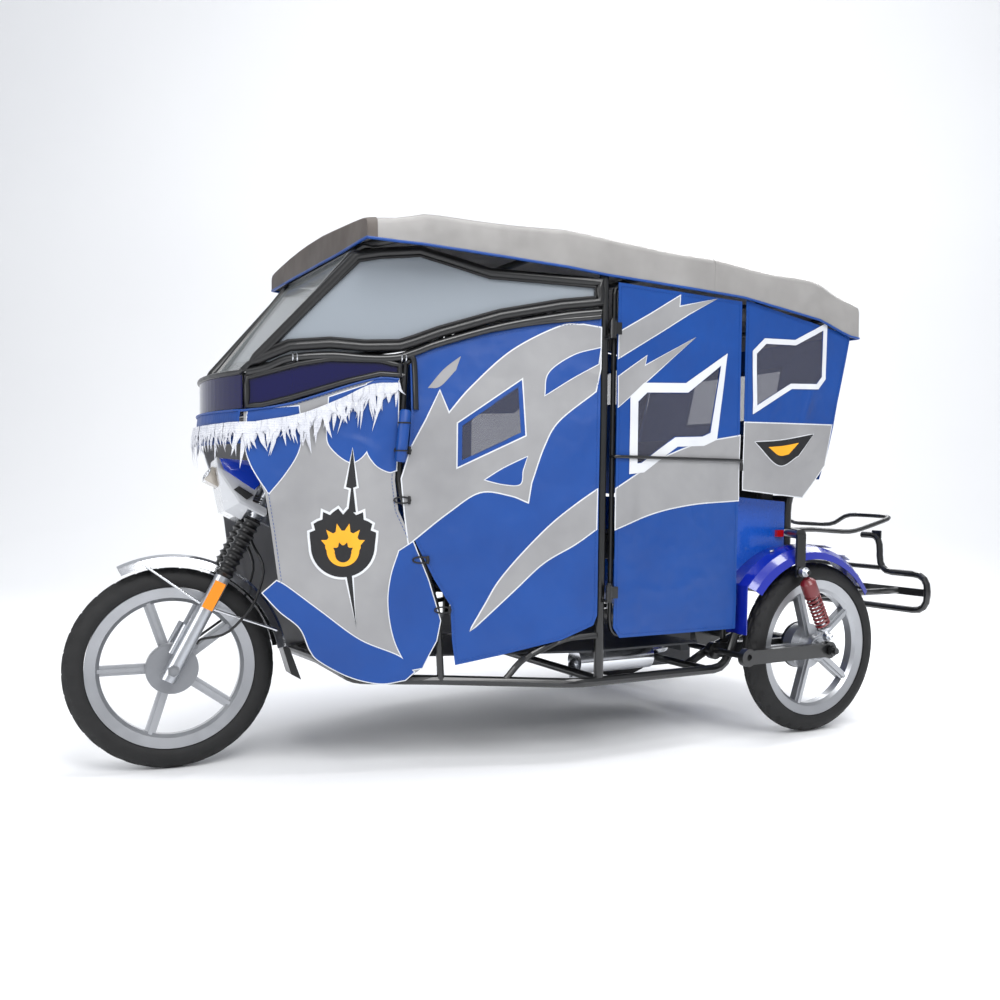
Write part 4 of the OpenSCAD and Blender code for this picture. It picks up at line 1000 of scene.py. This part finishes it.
def tyre(name, centre, axle, body, node, pitch=8, steps=240):
    axle = axle.normalized()
    normal = axle.cross(Vector((0, 0, 1))).normalized()
    up = normal.cross(axle)
    section = [(-30, 237), (-36.5, 238), (-40, 245), (-41.8, 253), (-40.6, 264), (-37.4, 273),
        (-33.5, 278.5)]
    tread = [-32.5, -28, -22, -19.5, -14.5, -12, -6, -2.2, 2.2, 6, 12, 14.5, 19.5, 22, 28, 32.5]
    section += [(x, 253 + math.sqrt(42 ** 2 - x * x)) for x in tread]
    section += [(-x, r) for x, r in reversed(section[:7])]
    rows = []
    for k in range(steps):
        a = 2 * math.pi * k / steps
        row = []
        for x, r in section:
            side = abs(x)
            if 2 < side < 33 and 7 <= section.index((x, r)) < len(section) - 7:
                shift = 0 if side < 13 else pitch // 2 if side < 21 else 2
                shift += 2 if x > 0 else 0
                if (k + shift) % pitch < 2 or 12.2 < side < 13 or 20 < side < 21.5 or side < 3 and x > 0:
                    r -= 4.2
            if 36 < side < 37.6 and (k % 16) < 8:
                r += 0.5
            row.append(centre + (axle * x + (normal * math.cos(a) + up * math.sin(a)) * r) / 1000)
        rows.append(row)
    mesh = bpy.data.meshes.new(name)
    bm = bmesh.new()
    rings = [[bm.verts.new(p) for p in row] for row in rows]
    m = len(section)
    for i in range(steps):
        one, two = rings[i], rings[(i + 1) % steps]
        for j in range(m):
            bm.faces.new([one[j], one[(j + 1) % m], two[(j + 1) % m], two[j]])
    bmesh.ops.recalc_face_normals(bm, faces=bm.faces)
    bm.to_mesh(mesh)
    bm.free()
    piece = keep(name, smooth(mesh, 30), "tyre_rubber", body)
    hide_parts(node)
    return piece


rolling = [tyre("front_tread", FRONT_HUB, SPIN, "front_wheel", "front_tyre"),
           tyre("rear_left_tread", at(572, 1013, 295), Vector((1, 0, 0)), "rear_left_wheel",
           "rear_left_tyre"),
           tyre("rear_right_tread", at(-572, 1013, 295), Vector((1, 0, 0)), "rear_right_wheel",
           "rear_right_tyre")]
print("tyres:", [len(t.data.polygons) for t in rolling], "faces")

# %% [markdown]
# ## Springs
# A coil wound round its strut, a chrome rod below, and a cap with an eye above.

# %% Springs
SHOCK_FOOT, SHOCK_TOP = at(656.3, 1013, 340.3), at(656.3, 895, 566)


def spring(foot, top, turns=9, radius=0.0225):
    axis = (top - foot).normalized()
    side = axis.cross(Vector((1, 0, 0))).normalized()
    other = axis.cross(side)
    low, high = foot.lerp(top, 0.17), foot.lerp(top, 0.66)
    coil = []
    for k in range(turns * 20 + 1):
        t = k / (turns * 20)
        ease = t + 0.035 * math.sin(2 * math.pi * t) / math.pi
        a = 2 * math.pi * turns * t
        coil.append(low.lerp(high, ease) + (side * math.cos(a) + other * math.sin(a)) * radius)
    return coil, axis


for sign, label in ((1, "left"), (-1, "right")):
    foot, top = (Vector((p.x * sign, p.y, p.z)) for p in (SHOCK_FOOT, SHOCK_TOP))
    coil, axis = spring(foot, top)
    long = (top - foot).length * 1000
    made = swept(label + "_spring", [coil], 0.0042, "spring_red", "chassis", 8)
    turned(label + "_strut", [(14, 5), (14, 9), (0.5 * long, 9), (0.5 * long, 14), (0.66 * long, 14)],
           foot, axis, "chrome", "chassis", 24)
    turned(label + "_spring_cup", [(0.13 * long, 10), (0.13 * long, 25), (0.155 * long, 26.5),
        (0.165 * long, 25),
                                   (0.165 * long, 10)], foot, axis, "polished_alloy", "chassis", 32)
    turned(label + "_dust_cap", [(0.655 * long, 10), (0.655 * long, 25), (0.68 * long, 27), (0.84 * long,
        27),
                                 (0.87 * long, 21), (0.9 * long, 12)], foot, axis, "spring_red",
                                 "chassis", 32)
    for eye_at, r, part in ((foot, 14, "lower"), (top, 17, "upper")):
        turned(f"{label}_{part}_eye", [(-11, 8), (-11, r - 2), (-9, r), (9, r), (11, r - 2), (11, 8)],
            eye_at,
               (1, 0, 0), "polished_alloy", "chassis", 28)
        turned(f"{label}_{part}_bush", [(-12.5, 3), (-12.5, 8.5), (12.5, 8.5), (12.5, 3)], eye_at, (1, 0, 0),
               "soft_black", "chassis", 24)
        turned(f"{label}_{part}_cap_nut", [(11.5, 4), (11.5, 10), (19, 10), (21, 8), (22.5, 4)], eye_at,
               (sign, 0, 0), "chrome", "chassis", 6, 25)
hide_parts("shock_absorbers")
print("springs wound with 9 turns over", round(0.49 * long), "mm")

# %% [markdown]
# ## Gaskets, clamps and small hardware
# Rubber round the side glass is fat and glossy and reads from far away. Chrome
# clamps, toggles, bolts and stitches are small, but they are what a close look
# rests on.

# %% Gaskets and clamps
NOSE_UP, NOSE_SIDE = Vector((0, 0, 1)), Vector((NOSE_OUT.x, NOSE_OUT.y, 0))
GLASS = [(6, 1461), (177, 1466), (345, 1470), (464, 1500), (551, 1521), (665, 1508), (734, 1494),
    (1025, 1170),
         (979, 1192), (914, 1222), (804, 1234), (706, 1230), (606, 1236), (563, 1251), (491, 1280),
         (312, 1338),
         (130, 1377), (6, 1394)]
rubber = [on_nose(p[0], p[1], 2.0) for p in spread(shrunk(GLASS, 5), 26)]
swept("side_gaskets", [rubber, flipped(rubber)], 0.0145, "seal_rubber", "chassis", 12, True)
lip = [on_nose(p[0], p[1], 7.0) for p in spread(shrunk(GLASS, 20), 26)]
swept("side_gasket_lips", [lip, flipped(lip)], 0.0045, "soft_black", "chassis", 8, True)
UNDER_GLASS = through((1032, 1150), (979, 1165), (914, 1193), (804, 1206), (706, 1203), (620, 1207),
    (563, 1226),
                      (491, 1255), (312, 1311), (130, 1351), (8, 1369))
rail = [on_nose(p.x, p.y, 3.0) for p in UNDER_GLASS]
swept("under_glass_rails", [rail, flipped(rail)], 0.0115, "black_tube", "chassis", 12)
STRIP = [(1030, 1136), (886, 1180), (804, 1196), (663, 1197), (607, 1186), (607, 1158), (663, 1160),
    (748, 1138),
         (914, 1083), (989, 1061), (1030, 1057)]
strip_rubber = [on_nose(p[0], p[1], 2.0) for p in spread(STRIP, 26)]
swept("strip_gaskets", [strip_rubber, flipped(strip_rubber)], 0.0085, "seal_rubber", "chassis", 10, True)
CANVAS_TOP = through((560, 1060), (566, 1195), (580, 1218), (552, 1232), (427, 1277), (221, 1325), (8, 1355))
bead = [on_nose(p.x, p.y, 2.0) for p in CANVAS_TOP]
swept("driver_canvas_rails", [bead, flipped(bead)], 0.0085, "black_tube", "chassis", 10)
clamps = []
for s in (596, 900):
    z = 1208 if s < 700 else 1197
    for k in (-6, 6):
        c = on_nose(s + k, z, 3.0)
        ring_line = [c + NOSE_UP * math.cos(a) * 0.0125 + NOSE_SIDE * math.sin(a) * 0.0125
                     for a in (math.pi * k / 8 for k in range(16))]
        clamps += [ring_line, flipped(ring_line)]
swept("rail_clamps", clamps, 0.0021, "chrome", "chassis", 8, True)
roll = [on_nose(606 - 0.1 * (z - 908), z, 17) for z in (908, 914, 960, 1010, 1052, 1058)]
swept("rolled_flaps", [roll, flipped(roll)], lambda t: 0.0165 if 0.02 < t < 0.98 else 0.012, "blue_canvas",
      "chassis", 16)
straps = []
for z in (940, 1020):
    for sign in (1, -1):
        c = on_nose(606 - 0.1 * (z - 908), z, 17)
        c.x *= sign
        ringed = [c + Vector((math.cos(a), math.sin(a), 0)) * 0.0175
            for a in (math.pi * k / 8 for k in range(16))]
        straps.append(ringed)
swept("roll_straps", straps, 0.0022, "soft_black", "chassis", 8, True)

# %% [markdown]
# Toggles hold the rear edge of each apron: a rubber loop over a small peg.

# %% Toggles and stitches
loops, pegs = [], []
for s, z in ((640, 942), (616, 798), (551, 624), (486, 476)):
    for sign in (1, -1):
        c = on_nose(min(s, 606) - 8, z, 5)
        ahead = (on_nose(s + 1, z, 5) - on_nose(s, z, 5)).normalized()
        line = [c + ahead * 0.024 * math.cos(a) + Vector((0, 0, 0.009)) * math.sin(a)
                for a in (2 * math.pi * k / 20 for k in range(20))]
        loops.append(line if sign > 0 else flipped(line))
        peg = [c - ahead * 0.02 + Vector((0, 0, d)) for d in (-0.012, -0.010, 0.010, 0.012)]
        pegs.append(peg if sign > 0 else flipped(peg))
swept("toggle_loops", loops, 0.0024, "soft_black", "chassis", 8, True)
swept("toggle_pegs", pegs, lambda t: 0.0045 if 0.1 < t < 0.9 else 0.003, "soft_black", "chassis", 10)


def stitches(name, loop, place, body, out, finish="white_vinyl", step=11.0):
    """A row of thread along the loop, one short dash for each stitch."""
    line = spread(loop, step)
    bodies = {"door": ("left_door", "right_door")}.get(body, (body, body))
    dashes = []
    for a, b in zip(line, line[1:] + line[:1]):
        one, two = Vector(a[:2]), Vector(b[:2])
        if (two - one).length < 4:
            continue
        pair = [one.lerp(two, 0.12), one.lerp(two, 0.7)]
        dashes.append([place(p.x, p.y, out + ripple(p.x, p.y)) for p in pair])
    swept("left_" + name, dashes, 0.0009, finish, bodies[0], 4)
    swept("right_" + name, [flipped(d) for d in dashes], 0.0009, finish, bodies[1], 4)
    return len(dashes)


sewn = [stitches("apron_stitch", shrunk(APRON, 9), on_nose, "chassis", -2.4, "blue_canvas"),
        stitches("driver_stitch", shrunk(DRIVER, 9), on_nose, "chassis", -2.4, "blue_canvas"),
        stitches("door_stitch", shrunk(DOOR, 10), on_side, "door", 2.6, "blue_canvas"),
        stitches("quarter_stitch", shrunk(QUARTER, 10), on_side, "chassis", 2.6, "blue_canvas")]
print("stitches in each row:", sewn)

# %% [markdown]
# Bolts are six-sided heads on round washers, all in one mesh for each finish.

# %% Bolts and nuts
def bolts(name, places, finish, body, size=7.0):
    mesh = bpy.data.meshes.new(name)
    bm = bmesh.new()
    for place, axis in places:
        lathe_into(bm, [(0, size * 1.05), (1.4, size * 1.1), (1.8, size)], place, axis, 20)
        lathe_into(bm, [(1.5, size * 0.8), (1.8, size * 0.88), (5.4, size * 0.88), (6.4, size * 0.7)],
            place, axis, 6)
    bm.to_mesh(mesh)
    bm.free()
    return keep(name, smooth(mesh, 25), finish, body)


FENDER_BOLT = 1.95                # angle up from straight back, in radians
bolt_line = (0, math.cos(FENDER_BOLT), math.sin(FENDER_BOLT))
places = [(at(sign * 560, 970 + 357 * bolt_line[1], 300 + 357 * bolt_line[2]), bolt_line)
    for sign in (1, -1)]
bolts("fender_bolts", places, "chrome", "chassis", 9)


def drum_ribs(name, centre, axle, body, side, radius, at_mm):
    """Cooling ribs and a ring of small bolts on a brake drum's face."""
    axle = axle.normalized() * side
    normal = axle.orthogonal().normalized()
    across = axle.cross(normal)
    rings = [[centre + axle * at_mm / 1000 + (normal * math.cos(a) + across * math.sin(a)) * r / 1000
              for a in (2 * math.pi * k / 48 for k in range(48))]
              for r in (radius, radius * 0.8, radius * 0.45)]
    swept(name + "_rings", rings, 0.0017, "polished_alloy", body, 8, True)
    seat, bolt_circle = centre + axle * (at_mm - 0.5) / 1000, radius * 0.62 / 1000
    turns = [2 * math.pi * k / 5 for k in range(5)]
    places = [(seat + (normal * math.cos(a) + across * math.sin(a)) * bolt_circle, axle) for a in turns]
    bolts(name + "_bolts", places, "zinc", body, 4.5)


drum_ribs("rear_left_hub", at(572, 1013, 295), Vector((1, 0, 0)), "rear_left_wheel", 1, 38, 48.5)
drum_ribs("rear_right_hub", at(-572, 1013, 295), Vector((-1, 0, 0)), "rear_right_wheel", 1, 38, 48.5)
bars = []
for sign in (1, -1):
    for mid in (1.02, 1.30):
        arc = [mid - 0.05 + 0.02 * k for k in range(6)]
        rows = [[[at(sign * x, 970 + r * math.cos(a), 300 + r * math.sin(a)) for x in (530, 545, 590, 604)]
                 for a in arc] for r in (359.4, 357.6)]
        bars.append(skin(f"fender_bar_{len(bars)}", rows[0], rows[1], "white_vinyl", "chassis"))
print("fender bars:", len(bars))

# %% [markdown]
# ## Headlamp fairing
# The white fairing turns with the fork, so its trim is laid out along the
# steering axis: blue shells above, dark intakes in the cheeks, a chrome rim.

# %% Fairing trim
RISE = Vector((0, math.sin(math.radians(28)), math.cos(math.radians(28))))
SIDEWAYS = (SPIN - RISE * SPIN.dot(RISE)).normalized()
BACKWARD = RISE.cross(SIDEWAYS)


def on_fork(x, y, z):
    return FRONT_HUB + (SIDEWAYS * x + BACKWARD * y + RISE * z) / 1000


def moulded(name, points, finish, body, round_by=0.006):
    """A moulded shell: the hull of a few corners with its edges rounded."""
    mesh = bpy.data.meshes.new(name)
    bm = bmesh.new()
    for p in points:
        bm.verts.new(p)
    bmesh.ops.convex_hull(bm, input=bm.verts)
    bmesh.ops.dissolve_limit(bm, angle_limit=0.03, verts=bm.verts, edges=bm.edges)
    bmesh.ops.bevel(bm, geom=list(bm.edges), offset=round_by, segments=3, affect="EDGES", profile=0.6)
    bmesh.ops.recalc_face_normals(bm, faces=bm.faces)
    bm.to_mesh(mesh)
    bm.free()
    return keep(name, smooth(mesh, 50), finish, body)


for sign, label in ((1, "left"), (-1, "right")):
    moulded(label + "_fairing_shell", [on_fork(sign * x, y, z) for x, y, z in (
        (125, -40, 566), (121, -40, 566), (112, -142, 580), (108, -142, 580), (96, -168, 606),
        (92, -168, 606),
        (96, -70, 650), (92, -70, 650), (112, -20, 640), (108, -20, 640))], "blue_shell", "steering", 0.0015)
    moulded(label + "_fairing_intake", [on_fork(sign * x, y, z) for x, y, z in (
        (126, -46, 530), (121, -46, 530), (119, -92, 540), (114, -92, 540), (120, -84, 556), (115, -84, 556),
        (126, -34, 552), (121, -34, 552))], "soft_black", "steering", 0.0015)
    vents = [[on_fork(sign * 125, y, z) for y, z in ((-30, 536 + 8 * k), (-6, 540 + 8 * k))]
        for k in range(3)]
    swept(label + "_fairing_vents", vents, 0.0018, "soft_black", "steering", 6)
rim_line = [on_fork(58 * math.cos(a), -172 - 2 * math.cos(2 * a), 557 + 22 * math.sin(a))
            for a in (2 * math.pi * k / 40 for k in range(40))]
swept("headlamp_rim", [rim_line], 0.0035, "chrome", "steering", 10, True)
print("fairing faces", [round(v, 2) for v in -BACKWARD])

# %% [markdown]
# ## Seats
# Foam under vinyl swells between its seams. A short cloth run from the CAD
# solid gives that shape: pressure inside, no gravity, and the foot held still.

# %% Seats
def stuffed(name, node, caps, voxel=0.006):
    source = nodes[node]
    mesh = source.data.copy()
    mesh.transform(source.matrix_world)
    mesh.materials.clear()
    blank = bpy.data.objects.new(name + "_blank", mesh)
    bpy.context.collection.objects.link(blank)
    grid = blank.modifiers.new("grid", "REMESH")
    grid.mode, grid.voxel_size = "VOXEL", voxel
    graph = bpy.context.evaluated_depsgraph_get()
    body = bpy.data.meshes.new_from_object(blank.evaluated_get(graph))
    bpy.data.objects.remove(blank)
    rest = [v.co.copy() for v in body.vertices]
    low = min(p.z for p in rest)
    actor = bpy.data.objects.new(name + "_cloth", body)
    bpy.context.collection.objects.link(actor)
    foot = actor.vertex_groups.new(name="foot")
    foot.add([i for i, p in enumerate(rest) if p.z < low + 0.012], 1.0, "REPLACE")
    cloth = actor.modifiers.new("cloth", "CLOTH")
    cloth.settings.use_pressure = True
    cloth.settings.uniform_pressure_force = 4.0
    cloth.settings.vertex_group_mass = "foot"
    cloth.settings.tension_stiffness = cloth.settings.compression_stiffness = 18
    cloth.settings.effector_weights.gravity = 0.0
    cloth.settings.quality = 4
    cloth.point_cache.frame_start, cloth.point_cache.frame_end = 1, 20
    scene = bpy.context.scene
    for f in range(1, 21):
        scene.frame_set(f)
    graph = bpy.context.evaluated_depsgraph_get()
    made = bpy.data.meshes.new_from_object(actor.evaluated_get(graph))
    bpy.data.objects.remove(actor)
    for v, p in zip(made.vertices, rest):
        move = v.co - p
        v.co = p + Vector([max(lo, min(hi, m)) for m, (lo, hi) in zip(move, caps)])
    scene.frame_set(1)
    return made


for name, node, caps in (
        ("bench_cushion", "passenger_seat", ((-0.002, 0.002), (-0.007, 0.0002), (0.0, 0.008))),
        ("bench_back", "passenger_backrest", ((-0.002, 0.002), (-0.008, 0.0002), (-0.001, 0.006))),
        ("driver_saddle", "driver_seat", ((-0.007, 0.007), (-0.005, 0.005), (0.0, 0.008)))):
    cushion = keep(name, smooth(stuffed(name, node, caps), 60), "sewn_vinyl", "chassis")
    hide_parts(node)
    print(name, len(cushion.data.polygons), "faces")
piping = []
for y, z in ((613, 658), (655, 662), (745, 662), (845, 662)):
    piping.append([at(x, y, z + 4.5) for x in range(-420, 421, 40)])
swept("bench_welts", piping, 0.003, "soft_black", "chassis", 8)

# %% [markdown]
# ## Floor and light
# A pale plain floor and three soft boxes: a big key from the camera's side, a
# weaker fill from the front, and a long one behind that draws the roof's edge.

# %% Floor and light
floor_mesh = bpy.data.meshes.new("studio_floor")
away, beside = Vector((look.x, look.y, 0)).normalized(), Vector((-look.y, look.x, 0)).normalized()
sweep_line = [(-12, 0), (4, 0)] + [(4 + 4 * math.sin(a), 4 - 4 * math.cos(a)) for a in
                                   (math.pi * k / 48 for k in range(1, 25))] + [(8, 14)]
corners = [tuple(away * d + beside * w + Vector((0, 0, h))) for d, h in sweep_line for w in (-14, 14)]
floor_mesh.from_pydata(corners, [], [(2 * k, 2 * k + 1, 2 * k + 3, 2 * k + 2)
    for k in range(len(sweep_line) - 1)])
floor_mesh.shade_smooth()
floor = bpy.data.objects.new("studio_floor", floor_mesh)
bpy.context.collection.objects.link(floor)
pale = Finish("pale_floor")
pale.put("Base Color", pale.blend(pale.cloud(0.4), tone(246, 247, 248), tone(240, 241, 243)))
pale.put("Roughness", pale.cloud(1.0) * 0.1 + 0.7)
floor_mesh.materials.append(pale.material)


def soft_box(name, place, aim, size, watts):
    lamp = bpy.data.lights.new(name, "AREA")
    lamp.shape, lamp.size, lamp.size_y, lamp.energy = "RECTANGLE", size[0], size[1], watts
    box = bpy.data.objects.new(name, lamp)
    bpy.context.collection.objects.link(box)
    box.location = place
    box.rotation_mode = "QUATERNION"
    box.rotation_quaternion = (Vector(aim) - Vector(place)).to_track_quat("-Z", "Y")


soft_box("key", (4.2, -1.0, 4.6), (0, 0, 0.8), (3.0, 3.0), 230)
soft_box("fill", (1.6, -5.2, 2.4), (0, -0.5, 0.9), (3.0, 2.0), 80)
soft_box("rear", (-1.5, 3.6, 4.0), (0, 0.4, 1.0), (4.0, 1.5), 120)
soft_box("backdrop", (0.5, 0.5, 7.0), (-6.0, 4.0, 1.5), (5.0, 3.0), 420)
world = bpy.data.worlds.new("studio") if not bpy.context.scene.world else bpy.context.scene.world
bpy.context.scene.world = world
world.use_nodes = True
world.node_tree.nodes["Background"].inputs[0].default_value = (0.93, 0.95, 1.0, 1)
world.node_tree.nodes["Background"].inputs[1].default_value = 0.5

# %% [markdown]
